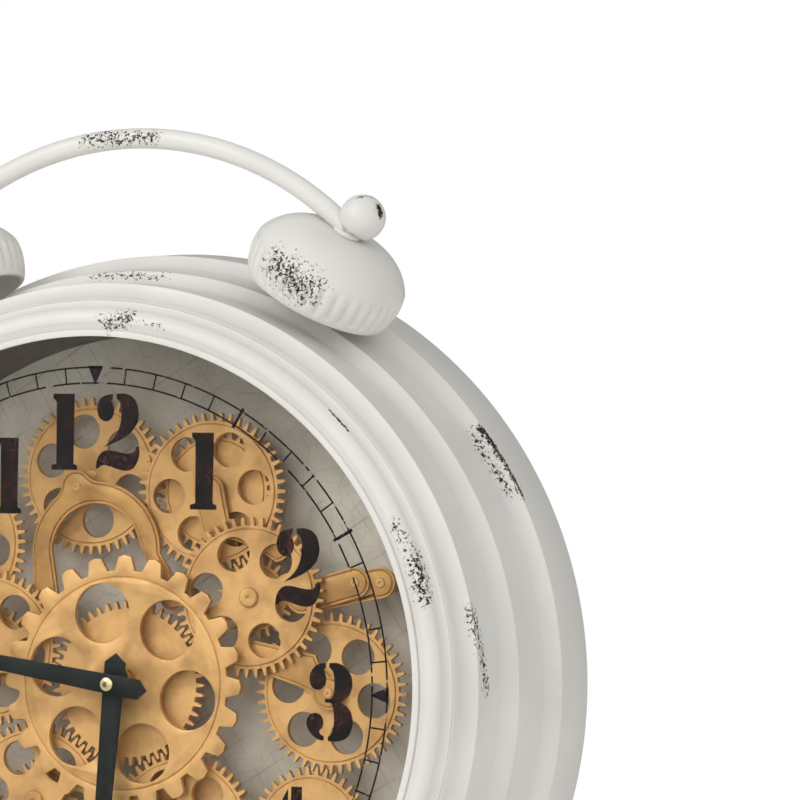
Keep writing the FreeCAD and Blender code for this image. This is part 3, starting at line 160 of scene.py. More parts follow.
def take(piece: Piece) -> None:
    """Make a piece the only one selected, and active."""
    fresh()
    piece.select_set(True)
    bpy.context.view_layer.objects.active = piece


def named(name: str) -> Piece:
    """Name the primitive that was just added."""
    piece = bpy.context.object
    piece.name = piece.data.name = name
    return piece


def stood(name: str, data: bpy.types.ID) -> Piece:
    """Make an object of some data and put it in the scene."""
    thing = bpy.data.objects.new(name, data)
    bpy.context.scene.collection.objects.link(thing)
    return thing


@contextmanager
def editing(piece: Piece) -> Iterator[None]:
    """Open a piece in edit mode with all of it selected, and close it again."""
    take(piece)
    bpy.ops.object.mode_set(mode="EDIT")
    bpy.ops.mesh.select_mode(type="VERT")
    bpy.ops.mesh.select_all(action="SELECT")
    yield
    bpy.ops.object.mode_set(mode="OBJECT")


@contextmanager
def editing_faces(piece: Piece, chosen: Callable[[bpy.types.MeshPolygon], bool]) -> Iterator[None]:
    """Open a piece in edit mode with its chosen faces selected, and close it again."""
    take(piece)
    for item in (*piece.data.vertices, *piece.data.edges):
        item.select = False
    for face in piece.data.polygons:
        face.select = chosen(face)
    bpy.ops.object.mode_set(mode="EDIT")
    bpy.ops.mesh.select_mode(type="FACE")
    yield
    bpy.ops.object.mode_set(mode="OBJECT")


def face_outwards() -> None:
    """Turn all faces of the mesh in edit mode outwards."""
    bpy.ops.mesh.select_all(action="SELECT")
    bpy.ops.mesh.normals_make_consistent(inside=False)


def cleaned(piece: Piece, flatten: bool = False) -> Piece:
    """Merge doubles, drop loose parts and turn the faces outwards.

    Args:
        piece: The mesh object.
        flatten: Whether faces that lie in one plane become one face.

    Returns:
        The same object.
    """
    with editing(piece):
        bpy.ops.mesh.remove_doubles(threshold=MERGE)
        bpy.ops.mesh.delete_loose()
        if flatten:
            bpy.ops.mesh.select_all(action="SELECT")
            bpy.ops.mesh.dissolve_limited(angle_limit=math.radians(FLAT_ANGLE))
        face_outwards()
    return piece


def modified(piece: Piece, kind: str, **settings) -> Piece:
    """Add a modifier with its settings to a piece and apply it."""
    take(piece)
    bpy.ops.object.modifier_add(type=kind)
    modifier = piece.modifiers[-1]
    for key, value in settings.items():
        setattr(modifier, key, value)
    bpy.ops.object.modifier_apply(modifier=modifier.name)
    return piece


def softened(piece: Piece, width: float, segments: int = 2, limit: float = 30.0) -> Piece:
    """Round a piece's edges and shade it smooth.

    Args:
        piece: The mesh object.
        width: Width of the rounding, in millimetres.
        segments: Number of faces across it.
        limit: Edges sharper than this many degrees are rounded.

    Returns:
        The same object.
    """
    crease = math.radians(limit)
    if width > 0:
        modified(piece, "BEVEL", width=width * MM, segments=segments, limit_method="ANGLE",
                 angle_limit=crease, use_clamp_overlap=True)
    take(piece)
    bpy.ops.object.shade_smooth_by_angle(angle=crease)
    return piece


def arc(start: Point, end: Point, radius: float, step: float) -> list[Point]:
    """Points on an arc, from its start up to its end, which is left out.

    Args:
        start: Where the arc begins.
        end: Where it ends.
        radius: Its radius; the centre is to the left of the way where this is positive.
        step: Distance between points, about.

    Returns:
        The points.
    """
    near, far = Vector(start), Vector(end)
    chord = far - near
    left = Vector((-chord.y, chord.x)).normalized()
    lift = math.sqrt(max(radius * radius - chord.length_squared / 4, 0.0))
    centre = (near + far) / 2 + left * math.copysign(lift, radius)
    first = math.atan2(near.y - centre.y, near.x - centre.x)
    last = math.atan2(far.y - centre.y, far.x - centre.x)
    sweep = math.remainder(last - first, math.tau)
    count = max(2, round(abs(sweep * radius) / step))
    angles = (first + sweep * index / count for index in range(count))
    return [(centre.x + abs(radius) * math.cos(angle), centre.y + abs(radius) * math.sin(angle))
            for angle in angles]


def traced(corners: Sequence[tuple], step: float = 0.8) -> list[Point]:
    """Turn corners, some with the radius of the arc that leaves them, into a closed run of points."""
    points: list[Point] = []
    for index, corner in enumerate(corners):
        after = corners[(index + 1) % len(corners)]
        if len(corner) == 3:
            points += arc(corner[:2], after[:2], corner[2], step)
        else:
            points.append(corner[:2])
    return points


def ringed(name: str, places: Sequence[Place], fill: str) -> Piece:
    """A closed ring of vertices at places in millimetres, filled with a face or left open."""
    fresh()
    bpy.ops.mesh.primitive_circle_add(vertices=len(places), radius=1.0, fill_type=fill)
    piece = named(name)
    for vertex, (x, y, z) in zip(piece.data.vertices, places):
        vertex.co = (x * MM, y * MM, z * MM)
    return piece


def lathed(name: str, profile: Sequence[Point], place: Matrix, steps: int) -> Piece:
    """Spin a closed profile about its own Z axis.

    Args:
        name: Name of the new piece.
        profile: Points as radius and height, in millimetres.
        place: The matrix that takes the mesh to its place.
        steps: Number of faces round the axis.

    Returns:
        The new mesh object.
    """
    piece = ringed(name, [(radius, 0.0, height) for radius, height in profile], "NOTHING")
    with editing(piece):
        bpy.ops.mesh.spin(steps=steps, angle=math.tau, center=(0, 0, 0), axis=(0, 0, 1))
    cleaned(piece)
    piece.data.transform(place)
    return piece


def rod(name: str, radius: float, length: float, place: Matrix, sides: int) -> Piece:
    """A capped cylinder that starts at a place and runs along its own Z axis."""
    fresh()
    bpy.ops.mesh.primitive_cylinder_add(vertices=sides, radius=radius * MM, depth=length * MM)
    piece = named(name)
    piece.data.transform(place @ Matrix.Translation((0, 0, length * MM / 2)))
    return piece


def sheet(name: str, corners: Sequence[tuple], thickness: float) -> Piece:
    """A flat plate about its own Z axis, cut to an outline of places on the dial, front face at zero."""
    plate = ringed(name, [(x, -z, 0.0) for x, z in traced(corners)], "NGON")
    with editing(plate):
        bpy.ops.mesh.extrude_region_move(TRANSFORM_OT_translate={"value": (0, 0, thickness * MM)})
        face_outwards()
    return plate


def eared(hub: Point, radius: float, spot: Point, ear: float, blend: float) -> list[tuple]:
    """Corners that leave a disc, run round an ear on it and come back, anticlockwise.

    Args:
        hub: Centre of the disc.
        radius: Radius of the disc, in millimetres.
        spot: Centre of the ear.
        ear: Radius of the ear.
        blend: Radius of the hollow between the two.

    Returns:
        Corners for traced, the last with the disc's own radius.
    """
    middle, end = Vector(hub), Vector(spot)
    away, far = end - middle, radius + blend
    opening = math.acos((away.length_squared + far * far - (ear + blend) ** 2) / (2 * away.length * far))
    heading = math.atan2(away.y, away.x)
    roots, sides = [], []
    for turn in (heading - opening, heading + opening):
        line = Vector((math.cos(turn), math.sin(turn)))
        roots.append(middle + line * radius)
        sides.append(end + (middle + line * far - end).normalized() * ear)
    crown = end + away.normalized() * ear
    return [(*roots[0], -blend), (*sides[0], ear), (*crown, ear), (*sides[1], -blend), (*roots[1], radius)]


def slot_shape(start: Point, end: Point, half: float) -> list[tuple]:
    """Corners of a bar with round ends."""
    first, last = Vector(start), Vector(end)
    along = (last - first).normalized() * half
    side = Vector((-along.y, along.x))
    return [(*(first - side),), (*(last - side), half), (*(last + along), half), (*(last + side),),
            (*(first + side), half), (*(first - along), half)]


def merged(name: str, pieces: Sequence[Piece]) -> Piece:
    """Join several meshes into one object."""
    take(pieces[0])
    for piece in pieces:
        piece.select_set(True)
    if len(pieces) > 1:
        bpy.ops.object.join()
    return named(name)


def pierced(piece: Piece, holes: Sequence[Place]) -> Piece:
    """Cut round holes through a disc, given as x, y and radius about its own axis."""
    reach, start, sides = 10.0, -4.0, 40
    tools = [rod("cutter", radius, reach, Matrix.Translation((x * MM, y * MM, start * MM)), sides)
             for x, y, radius in holes]
    tool = merged("cutters", tools)
    modified(piece, "BOOLEAN", operation="DIFFERENCE", solver="EXACT", object=tool)
    bpy.data.objects.remove(tool)
    return piece


def refined(node: str, width: float) -> Piece:
    """Copy a CAD node's shape as a new piece with rounded edges."""
    name = f"{node}_finished"
    piece = stood(name, frame["nodes"][node].data.copy())
    piece.data.name = name
    piece.data.materials.clear()
    return softened(cleaned(piece, flatten=True), width)


# Node trees


def linear(code: str) -> tuple[float, float, float, float]:
    """Turn an sRGB hex value into linear red, green, blue and alpha."""
    values = [int(code[index : index + 2], 16) / 255 for index in (1, 3, 5)]
    red, green, blue = (v / 12.92 if v <= 0.04045 else ((v + 0.055) / 1.055) ** 2.4 for v in values)
    return red, green, blue, 1.0


@dataclass
class Recipe:
    """A node tree that is being filled.

    Args:
        tree: The node tree.
        shader: The Principled shader of a material.
        place: A material's object coordinates.
    """

    tree: Tree
    shader: Node | None = None
    place: Socket | None = None

    def add(self, kind: str, inputs: dict | tuple = (), output: int | str = 0, **settings) -> Socket | None:
        """Add a node with its settings, values and links.

        Args:
            kind: Node type without its ShaderNode prefix.
            inputs: Values, sRGB hex values or sockets, in order or by input name or number.
            output: Name or number of the output that is wanted.
            settings: Properties of the node.

        Returns:
            That output, or nothing where the node has none.
        """
        node = self.tree.nodes.new(f"ShaderNode{kind}")
        for key, value in settings.items():
            setattr(node, key, value)
        self.fill(node, inputs)
        return node.outputs[output] if node.outputs else None

    def fill(self, node: Node, inputs: dict | tuple) -> None:
        """Link a node's inputs to sockets, and set the others to values, with hex values made linear."""
        for key, value in inputs.items() if isinstance(inputs, dict) else enumerate(inputs):
            if isinstance(value, Socket):
                self.tree.links.new(value, node.inputs[key])
            else:
                node.inputs[key].default_value = linear(value) if isinstance(value, str) else value

    def grain(self, size: float, detail: float = 3.0, rough: float = 0.55) -> dict:
        """The inputs of noise whose blotches are about a size in millimetres across."""
        return {"Vector": self.place, "Scale": 1.0 / (size * MM), "Detail": detail, "Roughness": rough}

    def blotches(self, size: float, low: float, high: float, detail: float = 3.0,
                 rough: float = 0.55) -> Socket:
        """A pattern of blotches of a real size.

        Args:
            size: Width of a blotch, in millimetres.
            low: Level of the noise where they begin.
            high: Level where they are full; the closer the two, the harder the edge.
            detail: Number of finer octaves.
            rough: Share of the finer octaves.

        Returns:
            How far a point is covered, from nothing to one.
        """
        return self.add("MapRange", (self.add("TexNoise", self.grain(size, detail, rough)), low, high))

    def relief(self, size: float, depth: float, strength: float, detail: float = 3.0,
               rough: float = 0.55) -> Socket:
        """A bump normal from a pattern of a real size; size and depth are in millimetres."""
        height = self.add("TexNoise", self.grain(size, detail, rough))
        return self.add("Bump", {"Height": height, "Distance": depth * MM, "Strength": strength})

    def cover(self, share: Socket, shader: Socket) -> None:
        """Lay another shader over the material's own by a share."""
        mixed = self.add("MixShader", (share, self.shader.outputs[0], shader))
        self.fill(self.tree.nodes["Material Output"], {"Surface": mixed})


@dataclass(frozen=True)
class Finish:
    """The base of each finish: a material made once, around one Principled shader.

    Args:
        name: The material's name.
    """

    made: ClassVar[dict["Finish", bpy.types.Material]] = {}
    name: str

    def material(self) -> bpy.types.Material:
        """The finish's material, made at its first use."""
        if self not in self.made:
            material = bpy.data.materials.new(self.name)
            material.use_nodes = True
            material.node_tree.nodes.clear()
            recipe = Recipe(material.node_tree)
            recipe.shader = recipe.add("BsdfPrincipled").node
            recipe.add("OutputMaterial", {"Surface": recipe.shader.outputs[0]})
            recipe.place = recipe.add("TexCoord", (), "Object")
            self.build(recipe)
            self.made[self] = material
        return self.made[self]

    def build(self, recipe: Recipe) -> None:
        """Fill the node tree; each finish has its own."""
        raise NotImplementedError


@dataclass(frozen=True)
class Scuff:
    """A worn stroke between two places on the dial.

    Args:
        start: Where it begins, in millimetres.
        end: Where it ends.
        width: How far it spreads to each side.
        bite: How much of the paint is gone along its middle, from nothing to one.
    """

    start: Place
    end: Place
    width: float
    bite: float

    def depth(self, recipe: Recipe) -> Socket:
        """How deep a place lies in the stroke, from nothing to its bite."""
        start, way = dial(*self.start), dial(*self.end) - dial(*self.start)
        offset = recipe.add("VectorMath", (recipe.place, start), operation="SUBTRACT")
        along = recipe.add("VectorMath", (offset, way), "Value", operation="DOT_PRODUCT")
        share = recipe.add("MapRange", (along, 0.0, way.length_squared))
        foot = recipe.add("VectorMath", {0: way, "Scale": share}, operation="SCALE")
        reach = recipe.add("VectorMath", (offset, foot), "Value", operation="DISTANCE")
        return recipe.add("MapRange", (reach, self.width * MM, 0.0, 0.0, self.bite))


@dataclass(frozen=True)
class WornPaint(Finish):
    """Brushed warm white paint on steel, chipped through to black primer and bare metal in patches."""

    scuffs: tuple[Scuff, ...] = ()
    colour: str = "#E6E4DE"
    shade: str = "#DEDBD5"
    primer: str = "#1F1B18"
    rust: str = "#6B5645"
    bare: str = "#EAE5D8"
    cloud_size: float = 60.0
    brush_size: float = 2.2
    speck_size: float = 1.8
    chip_size: float = 1.3
    metal_size: float = 1.4
    rust_size: float = 3.0
    brush_depth: float = 0.04
    chip_depth: float = 0.12
    stroke_share: float = 0.34

    def build(self, recipe: Recipe) -> None:
        """Soft blotches of dirt and rusty specks in the white, and chips where the strokes are."""
        cloud = recipe.blotches(self.cloud_size, 0.40, 0.68)
        speck = recipe.blotches(self.speck_size, 0.745, 0.765, 4.0, 0.7)
        paint = recipe.add("Mix", {0: cloud, 6: self.colour, 7: self.shade}, 2, data_type="RGBA")
        paint = recipe.add("Mix", {0: speck, 6: paint, 7: self.rust}, 2, data_type="RGBA")
        normal = recipe.relief(self.brush_size, self.brush_depth, 0.3, 4.0, 0.6)
        rough = recipe.add("MapRange", (cloud, 0.0, 1.0, 0.36, 0.46))
        if self.scuffs:
            paint, rough, normal = self.chipped(recipe, paint, rough, normal)
        recipe.fill(recipe.shader, {"Base Color": paint, "Roughness": rough, "Normal": normal})

    def chipped(self, recipe: Recipe, paint: Socket, rough: Socket,
                normal: Socket) -> tuple[Socket, Socket, Socket]:
        """Break the paint in the strokes down to primer and bare metal.

        Args:
            recipe: The tree that is being filled.
            paint: Colour of the whole paint.
            rough: Its roughness.
            normal: Its normal.

        Returns:
            Colour, roughness and normal with the chips in them.
        """
        depth = self.scuffs[0].depth(recipe)
        for scuff in self.scuffs[1:]:
            depth = recipe.add("Math", (depth, scuff.depth(recipe)), operation="MAXIMUM")
        chips = recipe.add("TexNoise", recipe.grain(self.chip_size, 5.0, 0.7))
        pull = recipe.add("Math", (depth, self.stroke_share), operation="MULTIPLY")
        score = recipe.add("Math", (chips, pull), operation="ADD")
        broken = recipe.add("MapRange", (score, 0.66, 0.675))
        inside = recipe.add("MapRange", (depth, 0.02, 0.12))
        primer = recipe.add("Math", (broken, inside), operation="MULTIPLY")
        bright = recipe.blotches(self.metal_size, 0.53, 0.545, 4.0, 0.65)
        middle = recipe.add("MapRange", (depth, 0.85, 0.6))
        metal = recipe.add("Math", (bright, middle), operation="MULTIPLY")
        rusty = recipe.blotches(self.rust_size, 0.5, 0.8)
        tone = recipe.add("Mix", {0: rusty, 6: self.primer, 7: self.rust}, 2, data_type="RGBA")
        dark = recipe.add("Math", (1.0, metal), operation="SUBTRACT")
        dark = recipe.add("Math", (primer, dark), operation="MULTIPLY")
        light = recipe.add("Math", (metal, primer), operation="MULTIPLY")
        paint = recipe.add("Mix", {0: light, 6: paint, 7: self.bare}, 2, data_type="RGBA")
        paint = recipe.add("Mix", {0: dark, 6: paint, 7: tone}, 2, data_type="RGBA")
        height = recipe.add("Math", (1.0, primer), operation="SUBTRACT")
        normal = recipe.add("Bump", {"Height": height, "Distance": self.chip_depth * MM, "Strength": 0.6,
                                     "Normal": normal})
        dull = recipe.add("Math", (primer, 0.2), operation="MULTIPLY")
        return paint, recipe.add("Math", (rough, dull), operation="ADD"), normal


@dataclass(frozen=True)
class AgedGold(Finish):
    """Sheet steel in antique gold lacquer: satin, with brown patina where the brush left it."""

    colour: str
    patina: str
    metallic: float = 0.35
    roughness: float = 0.42
    dirt: str = "#7A5B38"
    patina_size: float = 14.0
    speck_size: float = 1.3
    sheen_size: float = 6.0
    brush_size: float = 0.8
    brush_depth: float = 0.03
    speck_share: float = 0.6

    def build(self, recipe: Recipe) -> None:
        """Cloudy patina, dark specks and a fine brushed bump."""
        cloud = recipe.blotches(self.patina_size, 0.45, 0.75, 4.0, 0.6)
        speck = recipe.blotches(self.speck_size, 0.69, 0.73, 3.0, 0.6)
        speck = recipe.add("Math", (speck, self.speck_share), operation="MULTIPLY")
        sheen = recipe.add("TexNoise", recipe.grain(self.sheen_size))
        least, most = self.roughness - 0.06, self.roughness + 0.1
        tone = recipe.add("Mix", {0: cloud, 6: self.colour, 7: self.patina}, 2, data_type="RGBA")
        recipe.fill(recipe.shader, {
            "Base Color": recipe.add("Mix", {0: speck, 6: tone, 7: self.dirt}, 2, data_type="RGBA"),
            "Metallic": self.metallic,
            "Roughness": recipe.add("MapRange", (sheen, 0.3, 0.7, least, most)),
            "Normal": recipe.relief(self.brush_size, self.brush_depth, 0.4, 4.0),
        })


@dataclass(frozen=True)
class Parchment(Finish):
    """Printed grey paper glued on the dial plate: a faint grid, crackle and cloudy stains."""

    light: str = "#E4DCCD"
    dark: str = "#B8B0A0"
    ink: str = "#8B8478"
    grid: Point = (9.0, 15.3)
    grid_turn: float = 33.0
    crackle: float = 11.0
    stain_size: float = 40.0
    rub_size: float = 12.0
    fibre_size: float = 0.7
    fibre_depth: float = 0.02
    line_share: float = 0.45
    crack_share: float = 0.3

    def build(self, recipe: Recipe) -> None:
        """A turned grid of ink lines and a net of crackle over two tones of grey."""
        cloud = recipe.blotches(self.stain_size, 0.35, 0.7, 5.0, 0.6)
        tone = recipe.add("Mix", {0: cloud, 6: self.light, 7: self.dark}, 2, data_type="RGBA")
        turn = (0.0, math.radians(self.grid_turn), 0.0)
        turned = recipe.add("Mapping", {"Vector": recipe.place, "Rotation": turn})
        for axis, size in zip("XZ", self.grid):
            across = recipe.add("SeparateXYZ", (turned,), axis)
            steps = recipe.add("Math", (across, 1.0 / (size * MM)), operation="MULTIPLY")
            wave = recipe.add("Math", (steps,), operation="FRACT")
            away = recipe.add("Math", (wave, 0.5), operation="SUBTRACT")
            away = recipe.add("Math", (away,), operation="ABSOLUTE")
            line = recipe.add("MapRange", (away, 0.03, 0.012))
            worn = recipe.blotches(self.rub_size, 0.42, 0.6)
            line = recipe.add("Math", (line, worn), operation="MULTIPLY")
            line = recipe.add("Math", (line, self.line_share), operation="MULTIPLY")
            tone = recipe.add("Mix", {0: line, 6: tone, 7: self.ink}, 2, data_type="RGBA")
        cell = recipe.add("TexVoronoi", {"Vector": recipe.place, "Scale": 1.0 / (self.crackle * MM)},
                          "Distance", feature="DISTANCE_TO_EDGE")
        crack = recipe.add("MapRange", (cell, 0.02, 0.0))
        crack = recipe.add("Math", (crack, self.crack_share), operation="MULTIPLY")
        recipe.fill(recipe.shader, {
            "Base Color": recipe.add("Mix", {0: crack, 6: tone, 7: self.ink}, 2, data_type="RGBA"),
            "Roughness": 0.62,
            "Normal": recipe.relief(self.fibre_size, self.fibre_depth, 0.4),
        })


@dataclass(frozen=True)
class SatinCoat(Finish):
    """A sprayed or moulded coat of one colour with a fine orange-peel texture and slight wear."""

    colour: str
    worn: str
    roughness: float = 0.45
    metallic: float = 0.0
    peel: float = 1.5
    bumps: float = 0.2
    shine: float = 0.5
    wear_size: float = 9.0
    sheen_size: float = 4.0
    peel_depth: float = 0.02

    def build(self, recipe: Recipe) -> None:
        """Two near tones, varied roughness and the peel."""
        cloud = recipe.blotches(self.wear_size, 0.4, 0.72, 4.0, 0.6)
        sheen = recipe.add("TexNoise", recipe.grain(self.sheen_size))
        least, most = self.roughness - 0.05, self.roughness + 0.08
        recipe.fill(recipe.shader, {
            "Base Color": recipe.add("Mix", {0: cloud, 6: self.colour, 7: self.worn}, 2, data_type="RGBA"),
            "Metallic": self.metallic,
            "Specular IOR Level": self.shine,
            "Roughness": recipe.add("MapRange", (sheen, 0.3, 0.7, least, most)),
            "Normal": recipe.relief(self.peel, self.peel_depth, self.bumps),
        })


@dataclass(frozen=True)
class ScreenInk(Finish):
    """Screen ink on the back of the glass: black, mottled dark red and flaked off in places."""

    red: str = "#63302A"
    flaking: float = 0.0
    black: str = "#110E0D"
    blot_size: float = 1.1
    patch_size: float = 9.0
    flake_size: float = 5.0

    def build(self, recipe: Recipe) -> None:
        """Red mottling, and holes where the ink has flaked."""
        blot = recipe.blotches(self.blot_size, 0.53, 0.62, 5.0, 0.72)
        patch = recipe.blotches(self.patch_size, 0.42, 0.56)
        mottle = recipe.add("Math", (blot, patch), operation="MULTIPLY")
        recipe.fill(recipe.shader, {
            "Base Color": recipe.add("Mix", {0: mottle, 6: self.black, 7: self.red}, 2, data_type="RGBA"),
            "Roughness": 0.6,
            "Specular IOR Level": 0.1,
        })
        if self.flaking > 0:
            edge = 0.36 + self.flaking * 0.1
            whole = recipe.blotches(self.flake_size, edge, edge + 0.02, 4.0, 0.7)
            recipe.fill(recipe.shader, {"Alpha": whole})


@dataclass(frozen=True)
class ClearPane(Finish):
    """Polished glass with a coat against glare, which a low index stands for."""

    index: float = 1.18
    smear_size: float = 30.0

    def build(self, recipe: Recipe) -> None:
        """Glass that lets lamps through, so that the dial behind it is lit."""
        smear = recipe.add("TexNoise", recipe.grain(self.smear_size))
        recipe.fill(recipe.shader, {
            "Base Color": "#FBFCFB",
            "Transmission Weight": 1.0,
            "IOR": self.index,
            "Roughness": recipe.add("MapRange", (smear, 0.3, 0.8, 0.0, 0.01)),
        })
        recipe.cover(recipe.add("LightPath", (), "Is Shadow Ray"), recipe.add("BsdfTransparent"))


@dataclass(frozen=True)
class GlowingPaper(Finish):
    """Matt white paper that looks white to the camera and keeps a soft shadow."""

    share: float = 0.6
    glow: float = 1.45

    def build(self, recipe: Recipe) -> None:
        """Paper, with a glow laid over it that only the camera sees."""
        recipe.fill(recipe.shader, {"Base Color": "#F2F2F0", "Roughness": 0.9})
        seen = recipe.add("LightPath", (), "Is Camera Ray")
        share = recipe.add("Math", (seen, self.share), operation="MULTIPLY")
        recipe.cover(share, recipe.add("Emission", ("#FFFFFF", self.glow)))


# Gold lacquer: warm and satin on the faces; browner on tooth flanks and cut edges, darker on the bridges and nearly
# black in the grooves, all three as painted shade.
GOLD = AgedGold("aged_gold_face", "#D8A869", "#AB7E48")
GOLD_FLANK_SHADE = AgedGold("gold_flank_painted_shade", "#A57A45", "#76532D", 0.3, 0.5)
GOLD_GROOVE_SHADE = AgedGold("gold_groove_painted_shade", "#432E1B", "#2C1E12", 0.1, 0.75)
BRIDGE_GOLD_SHADED = AgedGold("gold_bridge_painted_shade", "#C49555", "#9A6C3C", 0.35, 0.4)
# Sprayed, turned and moulded coats: the liner's dark grey-brown is painted shade, the back drinks light, bright
# steel and brass give sharp highlights, the hands stay matt and near black, and rubber shows hardly any shine.
LINER = SatinCoat("liner_painted_shade_grey", "#6E6760", "#5A544E", 0.6)
STEEL = SatinCoat("turned_bright_steel", "#B9B6B0", "#8E8A84", 0.3, 1.0)
BRASS = SatinCoat("antique_brass_turned", "#C39A5C", "#8F6C3E", 0.33, 0.85)
NUT = SatinCoat("polished_brass", "#DCCB9C", "#BFA873", 0.2, 0.9, 3.0, 0.1)
BLACK = SatinCoat("matt_black_lacquer", "#191D1B", "#242926", 0.55, 0.0, 3.0, 0.03, 0.15)
PLASTIC = SatinCoat("moulded_black_abs", "#1E1E1F", "#29292A", 0.42)
BACK = SatinCoat("sprayed_charcoal_steel", "#33312F", "#45413D", 0.5)
RUBBER = SatinCoat("moulded_black_rubber", "#1A1A1A", "#262626", 0.75)
JACKET = SatinCoat("printed_cell_jacket", "#7C8790", "#5E6870", 0.35)
# Ink and glass: the print reads black with a dark red mottle, and the pane leaves only a faint reflection.
INK = ScreenInk("screen_ink_0")
LINE_INK = ScreenInk("screen_ink_35", "#4A2A3C", 0.35)
PANE = ClearPane("clear_pane")
PAPER = GlowingPaper("matt_white_paper")
FINISHES: dict[Slot, Finish] = {
    Slot.PAINT: WornPaint("worn_white_paint_plain"), Slot.GLASS: PANE, Slot.RUBBER: RUBBER, Slot.LINER: LINER,
    Slot.PLATE: Parchment("parchment"), Slot.GOLD: GOLD, Slot.STEEL: STEEL, Slot.BRASS: BRASS,
    Slot.BLACK: BLACK, Slot.PLASTIC: PLASTIC, Slot.BACK: BACK, Slot.JACKET: JACKET,
}


def dress(piece: Piece, *finishes: Finish) -> Piece:
    """Give a piece its materials in place of any it has."""
    piece.data.materials.clear()
    for finish in finishes:
        piece.data.materials.append(finish.material())
    return piece


def settle(piece: Piece, body: str, nodes: Iterable[str] = ()) -> None:
    """Tie a finished piece to its body, hide the CAD nodes it stands for, and report it.

    Args:
        piece: The finished mesh object.
        body: The CAD body that it rides on.
        nodes: The CAD nodes that it stands for.
    """
    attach(piece, body)
    if nodes:
        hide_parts(*nodes)
    LOG.info("%s rides on %s, %d faces", piece.name, body, len(piece.data.polygons))


# Case


@dataclass
class CaseWork:
    """The stepped case shell, the bezel ring and the wall inside, whose dark grey-brown is painted shade."""

    steps: int = 240
    shell: tuple = (
        (148.0, 0.0), (148.4, 0.2), (149.2, 2.6, -7.5), (155.0, 8.8), (155.0, 9.6), (155.9, 29.5, -9.3),
        (161.2, 37.4), (161.2, 38.0), (163.4, 57.5, -9.3), (168.9, 65.8), (168.9, 66.6), (171.0, 91.0),
        (169.5, 91.0), (169.08, 87.4), (158.0, 87.4), (158.0, 86.0), (168.9, 86.0), (167.4, 67.6),
        (163.9, 63.4), (162.0, 57.9), (159.9, 39.2), (156.4, 35.1), (154.5, 29.9), (153.6, 10.6), (148.0, 4.2),
    )
    bezel: tuple = (
        (133.8, -3.8), (133.8, -5.5), (136.2, -5.5), (136.2, -4.0), (139.2, -6.5, 5.0), (144.7, -4.0, -5.0),
        (147.95, 0.0), (147.95, 3.7), (139.3, 3.7), (139.3, -3.8),
    )
    liner: tuple = ((137.0, 0.0), (138.5, 0.0), (138.5, 60.0), (137.0, 60.0))
    scuffs: tuple[Scuff, ...] = (
        Scuff((134.9, 65.8, 101.6), (151.0, 67.0, 76.1), 2.6, 1.0),
        Scuff((132.5, 62.0, 99.0), (146.5, 62.5, 79.0), 6.0, 0.55),
        Scuff((133.6, 65.1, 101.6), (135, 65.3, 100), 3.0, 1.0),
        Scuff((151.8, 9.6, 31.6), (155.6, 16.2, 3.4), 5.5, 0.65),
        Scuff((-18.8, 36, 159.2), (11.9, 35.5, 159.5), 4.0, 0.55),
    )
    bezel_scuffs: tuple[Scuff, ...] = (
        Scuff((125.7, -5.6, 64.1), (133.8, -4.8, 50.7), 4.5, 0.55),
        Scuff((133.8, -4.8, 50.7), (137.6, -5, 36.9), 6.0, 0.75),
        Scuff((98.2, -4, 106.3), (105.9, -3.9, 98.8), 1.1, 1.0),
        Scuff((6.7, -6.5, 139), (15.4, -5.4, 140.8), 6.5, 0.7),
        Scuff((15, -5.4, 140.5), (30.4, -6, 137), 2.5, 0.5),
    )

    def build(self) -> None:
        """Model and dress the three turned pieces."""
        paints = [WornPaint("worn_white_paint_case", self.scuffs),
                  WornPaint("worn_white_paint_bezel", self.bezel_scuffs)]
        for name, node, profile, step, width, limit, finish, slot in (
            ("stepped_case", "case_shell", self.shell, 0.8, 0.3, 26.0, paints[0], Slot.PAINT),
            ("bezel", "bezel_ring", self.bezel, 0.5, 0.3, 26.0, paints[1], Slot.PAINT),
            # The inner wall's dark grey-brown finish is painted shade.
            ("inner_wall", "dial_liner", self.liner, 0.8, 0.2, 30.0, LINER, Slot.LINER),
        ):
            piece = lathed(name, traced(profile, step), facing(), self.steps)
            settle(dress(softened(piece, width, 2, limit), finish), "case", [node])


# Bells, finials and handle


